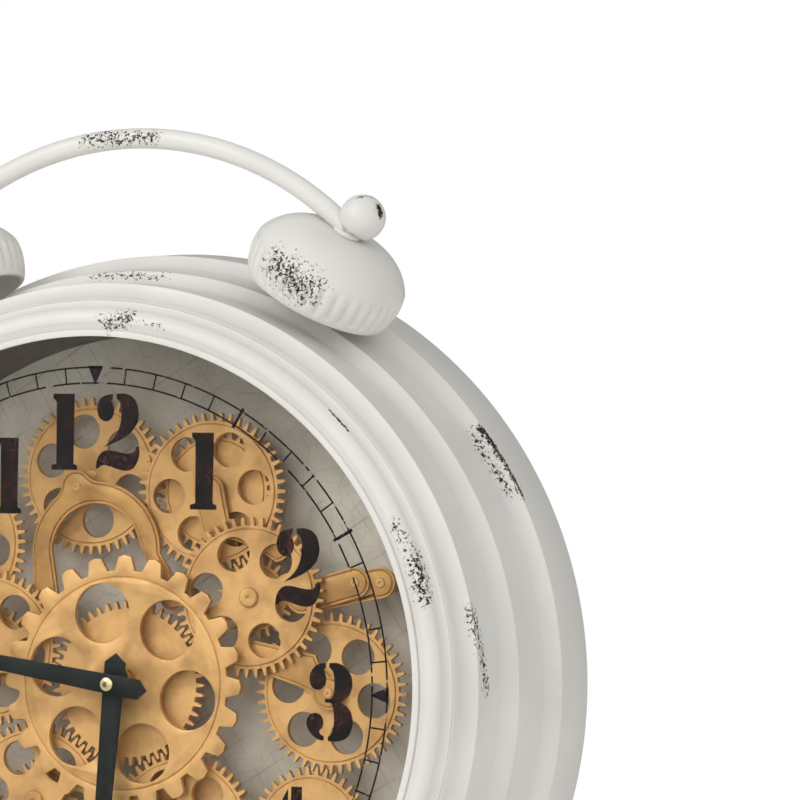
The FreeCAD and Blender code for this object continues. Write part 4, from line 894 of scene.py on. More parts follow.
@dataclass
class BellWork:
    """Two bells with a gadrooned skirt, their ball knobs and the bent tube handle."""

    studs: dict[str, Stud] = field(default_factory=lambda: {
        "right": Stud(26.6, 30.0, 9.0, 195.9), "left": Stud(-27.0, -23.0),
    })
    knobs: dict[str, Stud] = field(default_factory=lambda: {
        "right": Stud(27.0, 38.0), "left": Stud(-27.0, -30.0),
    })
    profile: tuple = (
        (3.1, 0.0), (11.0, 0.0, -22.0), (30.9, -12.5, -22.0), (28.6, -28.4), (27.0, -28.4), (29.3, -16.0),
        (23.0, -6.5), (11.0, -1.6), (3.1, -1.6),
    )
    flutes: int = 36
    flute_depth: float = 1.25
    flute_top: float = -10.5
    flute_foot: float = -26.3
    flute_arch: float = 3.0
    flute_roundness: float = 0.7
    top_fade: float = 4.0
    foot_fade: float = 1.5
    skirt_radius: float = 22.0
    ball_radius: float = 8.9
    ball_rise: float = 8.5
    ball_foot: float = 2.0
    tube_radius: float = 4.0
    tube_stations: int = 96
    tube_sides: int = 28
    arc_radius: float = 126.5
    arc_height: float = 86.7
    arc_half: float = 45.3
    press_start: float = 0.90
    press_half: float = 1.0
    press_width: float = 4.6
    eye_radius: float = 5.6
    bell_scuffs: tuple[Scuff, ...] = (Scuff((70.5, 10.0, 161.5), (82.0, 10.0, 153.5), 12.0, 0.7),)
    ball_scuffs: tuple[Scuff, ...] = (
        Scuff((101.7, 33.7, 185.9), (102.7, 33.5, 182.7), 2.8, 1.0),
        Scuff((93.7, 30.6, 189.1), (99.0, 36.0, 189.1), 1.0, 1.0),
    )
    handle_scuffs: tuple[Scuff, ...] = (Scuff((-21, 33, 213.0), (8, 33, 213.4), 5.5, 0.65),)

    def bell(self, side: str, stud: Stud) -> Piece:
        """One bell: spun, then its skirt pushed into flutes between a plain crown and a plain rim."""
        bell = lathed(f"bell_{side}", traced(self.profile, 0.9), Matrix.Identity(4), self.flutes * 8)
        for vertex in bell.data.vertices:
            radius, height = math.hypot(vertex.co.x, vertex.co.y) / MM, vertex.co.z / MM
            if radius < self.skirt_radius or height > self.flute_top + self.flute_arch:
                continue
            crest = abs(math.cos(math.atan2(vertex.co.y, vertex.co.x) * self.flutes / 2))
            rise = self.flute_top - self.flute_arch * (1.0 - crest)
            fade = (min(1.0, max(0.0, (rise - height) / self.top_fade))
                    * min(1.0, max(0.0, (height - self.flute_foot) / self.foot_fade)))
            push = 1.0 + (crest ** self.flute_roundness - 1.0) * self.flute_depth * fade / radius
            vertex.co.x *= push
            vertex.co.y *= push
        bell.data.transform(stud.place())
        return softened(bell, 0.3, 2, TURNED_CREASE)

    def ball(self, side: str, stud: Stud) -> Piece:
        """One ball knob on its flat foot."""
        radius, rise = self.ball_radius, self.ball_rise
        foot = math.sqrt(radius ** 2 - (rise - self.ball_foot) ** 2)
        profile = traced(((0.0, self.ball_foot), (foot, self.ball_foot, radius), (radius, rise, radius),
                          (0.0, rise + radius)), 0.7)
        return softened(lathed(f"ball_knob_{side}", profile, stud.place(), 64), 0.3, 2, TURNED_CREASE)

    def tube_point(self, along: float, turn: float) -> Vector:
        """A place on the tube's skin.

        Args:
            along: Share of the way from the middle to the right end, or to the left end if negative.
            turn: Angle round the tube, in radians.

        Returns:
            The place, in metres.
        """
        bearing = math.radians(self.arc_half * along)
        ends = max(0.0, (abs(along) - self.press_start) / (1.0 - self.press_start))
        press = ends * ends * (3.0 - 2.0 * ends)
        stud = self.studs["right" if along > 0 else "left"]
        thick = Vector((math.sin(bearing), 0.0, math.cos(bearing))).lerp(stud.outward(), press).normalized()
        centre = dial(self.arc_radius * math.sin(bearing), stud.depth,
                      self.arc_height + self.arc_radius * math.cos(bearing))
        centre = centre.lerp(stud.origin() + stud.outward() * MM, press)
        half = self.tube_radius * (1.0 - press) + self.press_half * press
        wide = self.tube_radius * (1.0 - press) + self.press_width * press
        side = thick.cross(Vector((math.cos(bearing), 0.0, -math.sin(bearing)))).normalized()
        return centre + (thick * half * math.cos(turn) + side * wide * math.sin(turn)) * MM

    def handle(self) -> Piece:
        """The tube, rolled from a grid along its arc and pressed flat into an eye at each end."""
        fresh()
        bpy.ops.mesh.primitive_grid_add(x_subdivisions=self.tube_stations, y_subdivisions=self.tube_sides,
                                        size=1.0)
        tube = named("handle_tube")
        for vertex in tube.data.vertices:
            vertex.co = self.tube_point(vertex.co.x * 2.0, math.tau * (vertex.co.y + 0.5))
        cleaned(tube)
        eyes = [softened(rod(f"eye_{side}", self.eye_radius, 2.0, stud.place(), 48), 0.4)
                for side, stud in self.studs.items()]
        return softened(merged("carry_handle_tube", [tube] + eyes), 0.0, 2, 50.0)

    def build(self) -> None:
        """Model and dress bells, knobs and handle."""
        bell_paint = WornPaint("worn_white_paint_bell", self.bell_scuffs)
        ball_paint = WornPaint("worn_white_paint_knob", self.ball_scuffs)
        handle_paint = WornPaint("worn_white_paint_handle", self.handle_scuffs)
        for side, stud in self.studs.items():
            settle(dress(self.bell(side, stud), bell_paint), "case", ["bells"])
            settle(dress(self.ball(side, self.knobs[side]), ball_paint), "case", ["bell_finials"])
        settle(dress(self.handle(), handle_paint), "case", ["carry_handle"])


# Gear train


class Layer(float, Enum):
    """Depths of the front faces in the gear train, in millimetres."""

    COARSE = 31.2
    FINE = 36.5
    BRIDGE = 39.8
    MIDDLE = 43.0
    REAR = 47.5


@dataclass(frozen=True)
class Wheel:
    """One spur wheel of the train.

    Args:
        spot: Name of its axle's place, which its node and body are named after.
        teeth: Number of teeth.
        front: Depth of its front face, in millimetres.
        holes: Number of round holes.
        hub: Length of the hub behind it, in millimetres.
        first: Bearing of the first hole, in degrees.
        rear: Whether it is the second wheel on its axle.
    """

    spot: str
    teeth: int
    front: float
    holes: int = 6
    hub: float = 0.0
    first: float = 37.5
    rear: bool = False


@dataclass(frozen=True)
class Cut:
    """The shape of a toothed blank.

    Args:
        teeth: Number of teeth.
        root: Root radius in millimetres.
        tip: Tip radius in millimetres.
        top: Half the width of a tooth's top, as a share of the pitch.
        foot: Half the width of a tooth's foot, as a share of the pitch.
        rim: Width of the rim outside the pressed groove; nothing is pressed at zero.
        phase: Angle of a tooth, in radians from +X towards +Z of the dial.
    """

    teeth: int
    root: float
    tip: float
    top: float
    foot: float
    rim: float
    phase: float = 0.0


@dataclass
class GearTrain:
    """The coarse centre wheel, the fine wheels around it, their screws and bridges."""

    module: float = 1.25
    tip_height: float = 1.125
    root_depth: float = 2.2
    play: float = 0.05
    thickness: float = 2.5
    bore: float = 2.6
    sleeve_bore: float = 6.1
    hub_radius: float = 5.0
    hole_radius: float = 6.8
    hole_circle: float = 17.9
    centre_teeth: int = 50
    coarse: Cut = Cut(24, 44.0, 50.0, 0.21, 0.36, 2.2)
    coarse_hole_radius: float = 11.7
    coarse_hole_circle: float = 28.4
    coarse_first: float = 41.6
    tooth_band: float = 0.25
    tip_crown: float = 0.12
    groove: tuple = ((0.12, -0.45), (0.28, 0.0), (0.25, 0.7))
    groove_shade_band: Point = (0.02, 0.56)
    plate_shade_band: Point = (0.02, 0.5)
    edge_on: float = 0.7
    spots: dict[str, Point] = field(default_factory=lambda: {"centre": (0.0, 0.0)})
    phases: dict[str, float] = field(default_factory=lambda: {"centre": 0.0})
    meshes: tuple = (
        ("two", "centre", 50, 48, 55.6), ("five", "centre", 50, 48, 157.0), ("eight", "centre", 50, 48, 219.5),
        ("ten", "centre", 50, 48, 281.5), ("one", "two", 24, 48, 334.5), ("twelve", "one", 38, 48, 275.8),
        ("four", "five", 44, 38, 88.2), ("three", "four", 38, 48, 8.2), ("seven", "eight", 24, 48, 240.0),
        ("eleven", "ten", 24, 48, 334.9),
    )
    wheels: tuple[Wheel, ...] = (
        Wheel("two", 48, Layer.FINE, hub=4.0),
        Wheel("five", 48, Layer.FINE, hub=4.0),
        Wheel("eight", 48, Layer.FINE, hub=4.0),
        Wheel("ten", 48, Layer.FINE, hub=4.0),
        Wheel("one", 48, Layer.MIDDLE, hub=2.0, first=23.5),
        Wheel("twelve", 48, Layer.REAR, first=49.0),
        Wheel("three", 48, Layer.MIDDLE),
        Wheel("four", 38, Layer.MIDDLE, 0),
        Wheel("seven", 48, Layer.MIDDLE),
        Wheel("eleven", 48, Layer.MIDDLE),
        Wheel("two", 24, Layer.MIDDLE, 0, rear=True),
        Wheel("eight", 24, Layer.MIDDLE, 0, rear=True),
        Wheel("ten", 24, Layer.MIDDLE, 0, rear=True),
        Wheel("one", 38, Layer.REAR, 0, rear=True),
        Wheel("five", 44, Layer.MIDDLE, 0, rear=True),
    )
    ear: float = 6.5
    foot: float = 5.5
    plate: float = 1.5
    plate_rim: float = 0.75
    yoke: Point = (-16.3, 51.0)
    yoke_ear: Point = (-25.2, 76.3)
    yoke_outer: float = 27.4
    yoke_inner: float = 18.9
    yoke_blend: float = 7.0
    yoke_mouth: float = 15.0
    yoke_feet: tuple[Point, Point] = ((-37.0, 30.0), (17.0, 34.0))
    arm_one_foot: Point = (60.0, 54.0)
    arm_three_foot: Point = (48.5, 13.0)
    links: tuple[Point, Point, Point] = ((71.0, 34.7), (92.9, 41.2), (102.9, 41.4))
    link_half: float = 6.0
    post_radius: float = 3.5
    pin_radius: float = 2.5
    twelve_pin: Point = (47.0, 13.0)
    head_lift: float = 0.3
    disc_profile: tuple = ((0.0, -0.7), (0.5, -0.75), (0.75, -1.3), (3.3, -1.3), (3.9, -0.8), (3.9, 0.0),
                           (0.0, 0.0))
    rivet_profile: tuple = ((0.0, -0.35), (0.4, -0.4), (0.6, -0.8), (1.5, -0.8), (2.15, -0.35), (2.2, 0.25),
                            (0.0, 0.25))
    shade_ring_profile: tuple = ((1.9, -0.06), (2.85, -0.06), (2.85, 0.1), (1.9, 0.1))

    def lay_out(self) -> None:
        """Work out each wheel's place and rest angle from its neighbour, tooth in gap."""
        for name, driver, driver_teeth, teeth, bearing in self.meshes:
            x, z = self.spots[driver]
            reach = (driver_teeth + teeth) * self.module / 2 + self.play
            turn = math.radians(bearing)
            self.spots[name] = (x + reach * math.sin(turn), z + reach * math.cos(turn))
            heading = math.atan2(self.spots[name][1] - z, self.spots[name][0] - x)
            share = (heading - self.phases[driver]) * driver_teeth / math.tau % 1
            self.phases[name] = heading + math.pi - (0.5 - share) * math.tau / teeth

    def fine(self, teeth: int, phase: float, rim: float = 0.9) -> Cut:
        """The shape of a fine wheel with some teeth."""
        pitch_radius = teeth * self.module / 2
        return Cut(teeth, pitch_radius - self.root_depth, pitch_radius + self.tip_height, 0.13, 0.25, rim, phase)

    def blank(self, name: str, cut: Cut) -> Piece:
        """A toothed blank about its own Z axis, front face at zero.

        Args:
            name: Name of the piece.
            cut: Its shape.

        Returns:
            The mesh object, still at the origin.
        """
        pitch = math.tau / cut.teeth
        band = self.tooth_band

        def on_tooth(face: bpy.types.MeshPolygon) -> bool:
            """Whether a tooth grows out of a face of the rim."""
            share = math.atan2(face.center.y, face.center.x) / pitch % 1
            return len(face.vertices) == 4 and (share < band or share > 1.0 - band)

        fresh()
        bpy.ops.mesh.primitive_cylinder_add(vertices=cut.teeth * 4, radius=cut.root * MM,
                                            depth=self.thickness * MM)
        blank = named(name)
        mesh = blank.data
        with editing_faces(blank, on_tooth):
            bpy.ops.mesh.extrude_region_move()
        for vertex in mesh.vertices:
            turn = math.atan2(vertex.co.y, vertex.co.x)
            share = (turn / pitch + 0.5) % 1 - 0.5
            wing = min(abs(share) / band, 1.0) if abs(share) < band + 0.05 else 0.0
            if vertex.select or wing > 0.5:
                half, reach = cut.foot, cut.root
                if vertex.select:
                    half, reach = cut.top, cut.tip - (cut.tip - cut.root) * self.tip_crown * wing
                turn += (math.copysign(wing * half, share) - share) * pitch
                vertex.co.x, vertex.co.y = reach * MM * math.cos(turn), reach * MM * math.sin(turn)
        if cut.rim > 0:
            self.press_disc(blank, cut.rim)
        # Faces of the pressed groove take a nearly black gold: painted shade in the groove.
        field_edge = cut.root - cut.rim
        near, far = self.groove_shade_band
        # Sideways faces of the teeth and rim take a browner gold: painted shade on the flanks.
        for face in mesh.polygons:
            reach = math.hypot(face.center.x, face.center.y) / MM
            if abs(face.normal.z) < self.edge_on and reach > cut.root - 0.5:
                face.material_index = 1
            elif cut.rim > 0 and near < field_edge - reach < far:
                face.material_index = 2
        mesh.transform(Matrix.Translation((0, 0, self.thickness * MM / 2)))
        mesh.transform(Matrix.Rotation(-cut.phase, 4, "Z"))
        return blank

    def press_disc(self, blank: Piece, rim: float) -> None:
        """Inset the front face into a fine groove around a raised field."""
        with editing_faces(blank, lambda face: face.normal.z < -0.9 and len(face.vertices) > 8):
            for thickness, depth in ((rim, 0.0), *self.groove):
                bpy.ops.mesh.inset(thickness=thickness * MM, depth=depth * MM)

    def ring(self, bore: float, count: int, circle: float, radius: float, first: float) -> list[Place]:
        """A bore and a ring of round holes about it; first is the bearing of one of them."""
        turns = [math.radians(first) + math.tau * index / count for index in range(count)]
        return [(0.0, 0.0, bore)] + [(circle * math.sin(turn), -circle * math.cos(turn), radius) for turn in turns]

    def wheel(self, wheel: Wheel) -> None:
        """Model, place and dress one fine wheel."""
        node = f"gear_{wheel.spot}_rear" if wheel.rear else f"gear_{wheel.spot}"
        blank = self.blank(f"{node}_cut", self.fine(wheel.teeth, self.phases[wheel.spot]))
        pierced(blank, self.ring(self.bore, wheel.holes, self.hole_circle, self.hole_radius, wheel.first))
        if wheel.hub:
            place = Matrix.Translation((0, 0, self.thickness * MM))
            blank = merged(blank.name, [blank, rod("hub", self.hub_radius, wheel.hub, place, 32)])
        x, z = self.spots[wheel.spot]
        blank.data.transform(facing(x, wheel.front, z))
        softened(blank, 0.14, 1, GEAR_CREASE)
        settle(dress(blank, GOLD, GOLD_FLANK_SHADE, GOLD_GROOVE_SHADE), f"wheel_{wheel.spot}", [node])

    def centre(self) -> None:
        """The coarse wheel in front and the finer one that drives the train behind it."""
        holes = self.ring(self.sleeve_bore, 6, self.coarse_hole_circle, self.coarse_hole_radius,
                          self.coarse_first)
        coarse = pierced(self.blank("centre_wheel_cut", self.coarse), holes)
        coarse.data.transform(facing(0.0, Layer.COARSE, 0.0))
        softened(coarse, 0.3, 2, GEAR_CREASE)
        settle(dress(coarse, GOLD, GOLD_FLANK_SHADE, GOLD_GROOVE_SHADE), "centre_wheel", ["centre_gear"])
        fine = pierced(self.blank("centre_fine_cut", self.fine(self.centre_teeth, 0.0, rim=0.0)), holes[:1])
        fine.data.transform(facing(0.0, Layer.FINE, 0.0))
        softened(fine, 0.14, 1, GEAR_CREASE)
        settle(dress(fine, GOLD, GOLD_FLANK_SHADE), "centre_wheel", ["centre_fine_gear"])

    def bridge(self, name: str, corners: Sequence[tuple], front: float = Layer.BRIDGE) -> Piece:
        """A stamped plate with a groove inside its edge."""
        plate = sheet(name, corners, self.plate)
        self.press_disc(plate, self.plate_rim)
        # Faces of the plate's pressed groove take the nearly black gold: painted shade in the groove.
        for face in plate.data.polygons:
            if self.plate_shade_band[0] * MM < face.center.z < self.plate_shade_band[1] * MM:
                face.material_index = 1
        plate.data.transform(facing(0.0, front, 0.0))
        # The bridges take a darker copy of the wheels' gold: painted shade.
        return dress(softened(plate, 0.2, 2, GEAR_CREASE), BRIDGE_GOLD_SHADED, GOLD_GROOVE_SHADE)

    def yoke_corners(self) -> list[tuple]:
        """The horseshoe's outline, with its ear and its two feet."""
        (x, z), outer, inner, foot = self.yoke, self.yoke_outer, self.yoke_inner, self.foot
        (left_x, left_z), (right_x, right_z) = self.yoke_feet
        mouth = math.radians(self.yoke_mouth)
        return [(x + outer, z, outer), *eared(self.yoke, outer, self.yoke_ear, self.ear, self.yoke_blend),
                (x - outer, z),
                (left_x - foot, left_z, foot), (left_x, left_z - foot, foot), (left_x + foot, left_z),
                (x - inner, z, -inner), (x, z + inner, -inner),
                (x + inner * math.cos(mouth), z + inner * math.sin(mouth)),
                (right_x - foot, right_z, foot), (right_x, right_z - foot, foot), (right_x + foot, right_z)]

    def arm_one_corners(self) -> list[tuple]:
        """The outline of the arm that holds the one wheel's axle."""
        (x, z), (end_x, end_z), ear, foot = self.spots["one"], self.arm_one_foot, self.ear, self.foot
        return [(x + ear, z, ear), (x, z + ear, ear), (x - ear, z), (x - 2.0, z - 16.5, -60.0),
                (end_x, end_z - foot, foot), (end_x + foot, end_z, foot), (end_x, end_z + foot),
                (x + 8.9, z - 10.4)]

    def arm_three_corners(self) -> list[tuple]:
        """The outline of the arm that holds the three wheel's axle."""
        (x, z), (end_x, end_z), ear, foot = self.spots["three"], self.arm_three_foot, self.ear, self.foot
        return [(x - ear, z, ear), (x, z - ear, ear), (x + ear, z, ear), (x, z + ear, -18.0),
                (x - 5.6, z + 14.6), (end_x, end_z + foot, foot), (end_x - foot, end_z, foot),
                (end_x, end_z - foot), (x - 13.0, z + 2.5)]

    def bridges(self) -> None:
        """The yoke over the twelve wheel, the two arms and the pair of links at the right."""
        for name, corners, node in (("yoke_stamped", self.yoke_corners(), "yoke_plate"),
                                    ("arm_one_stamped", self.arm_one_corners(), "arm_one"),
                                    ("arm_three_stamped", self.arm_three_corners(), "arm_three")):
            settle(self.bridge(name, corners), "case", [node])
        pair = [self.bridge("link", slot_shape(self.links[0], end, self.link_half),
                            Layer.BRIDGE + self.plate * index)
                for index, end in enumerate(self.links[1:])]
        settle(merged("links_stamped", pair), "case", ["link_plates"])
        behind_one, behind_two = Layer.BRIDGE + self.plate, Layer.BRIDGE + self.plate * 2
        posts = [(*spot, behind_one) for spot in (*self.yoke_feet, self.arm_one_foot, self.arm_three_foot)]
        posts += [(*spot, front) for spot, front in zip(self.links, (behind_two, behind_one, behind_two))]
        rods = [rod("post", self.post_radius, PLATE_DEPTH - front, facing(x, front, z), 28)
                for x, z, front in posts]
        rods = softened(merged("bridge_posts", rods), 0.0, 1, GEAR_CREASE)
        settle(dress(rods, BRASS), "case", ["bridge_pillars"])

    def heads(self) -> None:
        """Low discs with a dimple on the wheels and small rivets on the bridges, each on its pin, and a thin dark
        ring of painted shade round each rivet's foot.
        """
        # The groove pattern is a thin dark ring laid round each rivet's foot as painted shade.
        disc, rivet, groove = (
            lathed(f"{name}_pattern", profile, Matrix.Identity(4), steps)
            for name, profile, steps in (("disc", self.disc_profile, 40), ("rivet", self.rivet_profile, 32),
                                         ("groove", self.shade_ring_profile, 32))
        )
        discs = [(*self.spots[name], Layer.FINE - self.head_lift) for name in ("two", "five", "eight", "ten")]
        discs += [(*self.spots[name], Layer.MIDDLE - self.head_lift) for name in ("four", "seven", "eleven")]
        rivets = [(*spot, Layer.BRIDGE)
                  for spot in (self.spots["one"], self.spots["three"], self.yoke_ear, self.links[1])]
        rivets.append((*self.links[2], Layer.BRIDGE + self.plate))
        (x, z), (front, length) = self.spots["twelve"], self.twelve_pin
        pins = [(*spot, PLATE_DEPTH - spot[2]) for spot in discs + rivets[:2]] + [(x, z, front, length)]
        heads, shade_rings = [], []
        for part, places, into in ((disc, discs, heads), (rivet, rivets, heads), (groove, rivets, shade_rings)):
            for x, z, front in places:
                into.append(stood("head", part.data.copy()))
                into[-1].data.transform(facing(x, front, z))
            bpy.data.objects.remove(part)
        heads += [rod("pin", self.pin_radius, length, facing(x, front, z), 24) for x, z, front, length in pins]
        heads = softened(merged("axle_heads", heads), 0.12, 2, GEAR_CREASE)
        settle(dress(heads, GOLD), "case", ["gear_axles"])
        # The dark rings round the rivets are painted shade.
        settle(dress(merged("rivet_shade_rings", shade_rings), GOLD_GROOVE_SHADE), "case")

    def build(self) -> None:
        """Lay the train out and make every piece of it."""
        self.lay_out()
        for wheel in self.wheels:
            self.wheel(wheel)
        self.centre()
        self.bridges()
        self.heads()


# Printed glass and hands

# Each digit's width and closed strokes, in hundredths of its height; a point with a third number is a corner.
GLYPHS: dict[str, tuple] = {
    "1": (42.0, (
        ((1, 99.5, 1), (31.8, 99.5, 1), (31.8, 8, 1), (37.2, 6, 1), (37.2, 0, 1), (0, 0, 1), (0, 6, 1), (7.3, 8, 1),
         (6, 89, 1), (1, 94, 1)),
    )),
    "2": (61.0, (
        ((22.2, 100, 1), (6.5, 95.3), (1.3, 87.5), (0.5, 77), (4.4, 67.9), (13, 64), (20.9, 67.9), (24.3, 77),
         (23.5, 83.6), (20.1, 90), (22.2, 94, 1)),
        ((27.4, 100, 1), (40.5, 100), (52.2, 94), (58.7, 79.6), (58.7, 66.6), (50.9, 52.2), (35.2, 40.5),
         (10.4, 30.5, 1), (24.8, 43), (32.1, 56.1), (34.7, 71.8), (33.2, 87.5), (27.4, 94, 1)),
        ((0, 2.6, 1), (0.8, 11.7), (4.4, 19.6), (11.7, 25.6), (22.2, 26.1), (35.2, 23.5), (48.3, 22.7), (54.8, 26.1),
         (56.7, 31.3, 1), (60.8, 32.1, 1), (61.4, 22.2), (58.7, 11.7), (52.2, 2.6), (44.4, 0), (32.6, 1.3),
         (19.6, 5.2), (9.1, 6.5), (2.6, 2.1, 1)),
    )),
    "3": (63.0, (
        ((25.7, 99.7, 1), (15.3, 98), (6.4, 90), (3.5, 78.8), (6.4, 69.1), (13.7, 65.1), (21.7, 67.5), (26.2, 75.6),
         (24.9, 86), (23.3, 90.8), (25.7, 94, 1)),
        ((30.1, 99.7, 1), (42.6, 99.7), (55.5, 91.6), (61.9, 78.8), (61.1, 65.9), (55.5, 56.3), (46.6, 49.8, 1),
         (57.1, 43.4), (63.2, 30.5), (62.7, 17.7), (55.5, 4.8), (42.6, 0), (30.1, 0.3, 1), (30.1, 5.6, 1),
         (34.9, 9.6), (37.3, 17.7), (37.5, 33.8), (35.4, 45), (33, 49, 1), (25.2, 49, 1), (25.2, 53.9, 1),
         (33, 53.9, 1), (35.9, 57.9), (37.5, 67.5), (37, 82), (34.6, 90), (30.1, 94, 1)),
        ((24.4, 0.3, 1), (15.3, 2.4), (4.8, 11.3), (0.3, 22.5), (2.4, 30.5), (8.8, 35), (17.7, 34.2), (22.8, 27.3),
         (22.5, 17.7), (18.2, 12.1), (20.1, 8.4), (24.4, 6.4, 1)),
    )),
    "4": (62.0, (
        ((31, 98, 1), (0, 38, 1), (0, 27, 1), (31, 27, 1), (31, 35, 1), (8, 35, 1), (31, 80, 1)),
        ((35, 100, 1), (50, 100, 1), (50, 35, 1), (62, 35, 1), (62, 27, 1), (50, 27, 1), (50, 8, 1), (57, 6, 1),
         (57, 0, 1), (27, 0, 1), (27, 6, 1), (35, 8, 1)),
    )),
    "5": (62.0, (
        ((10, 100, 1), (26, 96), (42, 97), (58, 100, 1), (56, 86), (46, 78), (30, 79), (14, 78, 1), (14, 74, 1),
         (10, 74, 1)),
        ((10, 70, 1), (14, 70, 1), (14, 54), (20, 59), (26, 61, 1), (26, 54, 1), (18, 50), (10, 45, 1)),
        ((30, 62, 1), (46, 59), (58, 48), (62, 31), (58, 13), (46, 2), (30, 0, 1), (30, 5, 1), (36, 12), (38, 30),
         (36, 47), (30, 54, 1)),
        ((25, 0, 1), (15, 2), (4, 11), (0, 22), (2, 30), (9, 35), (18, 34), (23, 27), (22, 18), (18, 12), (20, 8),
         (25, 6, 1)),
    )),
    "6": (61.0, (
        ((27, 100, 1), (12, 92), (2, 72), (0, 48), (3, 22), (13, 6), (27, 0, 1), (27, 5, 1), (22, 15), (21, 32),
         (21, 58), (23, 82), (27, 94, 1)),
        ((31, 100, 1), (44, 98), (54, 90), (56, 80), (51, 72), (42, 71), (36, 78), (38, 88), (31, 94, 1)),
        ((31, 60, 1), (45, 59), (57, 49), (61, 32), (57, 12), (46, 2), (31, 0, 1), (31, 5, 1), (37, 13), (39, 31),
         (37, 47), (31, 54, 1)),
    )),
    "7": (60.0, (
        ((0, 70, 1), (2, 100, 1), (10, 97), (24, 94), (42, 95), (60, 100, 1), (59, 90), (50, 81), (38, 77), (22, 80),
         (12, 80), (4, 70, 1)),
        ((38, 72, 1), (50, 77), (57, 84, 1), (49, 62), (41, 36), (40, 14), (36, 3), (28, 0), (19, 4), (17, 16),
         (22, 38), (30, 56)),
    )),
    "8": (62.0, (
        ((28, 100, 1), (12, 96), (3, 80), (8, 62), (17, 52, 1), (5, 43), (0, 26), (7, 8), (28, 0, 1), (28, 5, 1),
         (20, 12), (17, 26), (21, 41), (28, 49, 1), (28, 54, 1), (22, 63), (19, 77), (22, 90), (28, 95, 1)),
        ((34, 100, 1), (50, 96), (59, 80), (54, 62), (45, 52, 1), (57, 43), (62, 26), (55, 8), (34, 0, 1),
         (34, 5, 1), (42, 12), (45, 26), (41, 41), (34, 49, 1), (34, 54, 1), (40, 63), (43, 77), (40, 90),
         (34, 95, 1)),
    )),
    "0": (60.0, (
        ((27, 100, 1), (11, 92), (1, 70), (0, 50), (1, 30), (11, 8), (27, 0, 1), (27, 5, 1), (20, 20), (18, 50),
         (20, 80), (27, 95, 1)),
        ((33, 100, 1), (49, 92), (59, 70), (60, 50), (59, 30), (49, 8), (33, 0, 1), (33, 5, 1), (40, 20), (42, 50),
         (40, 80), (33, 95, 1)),
    )),
}


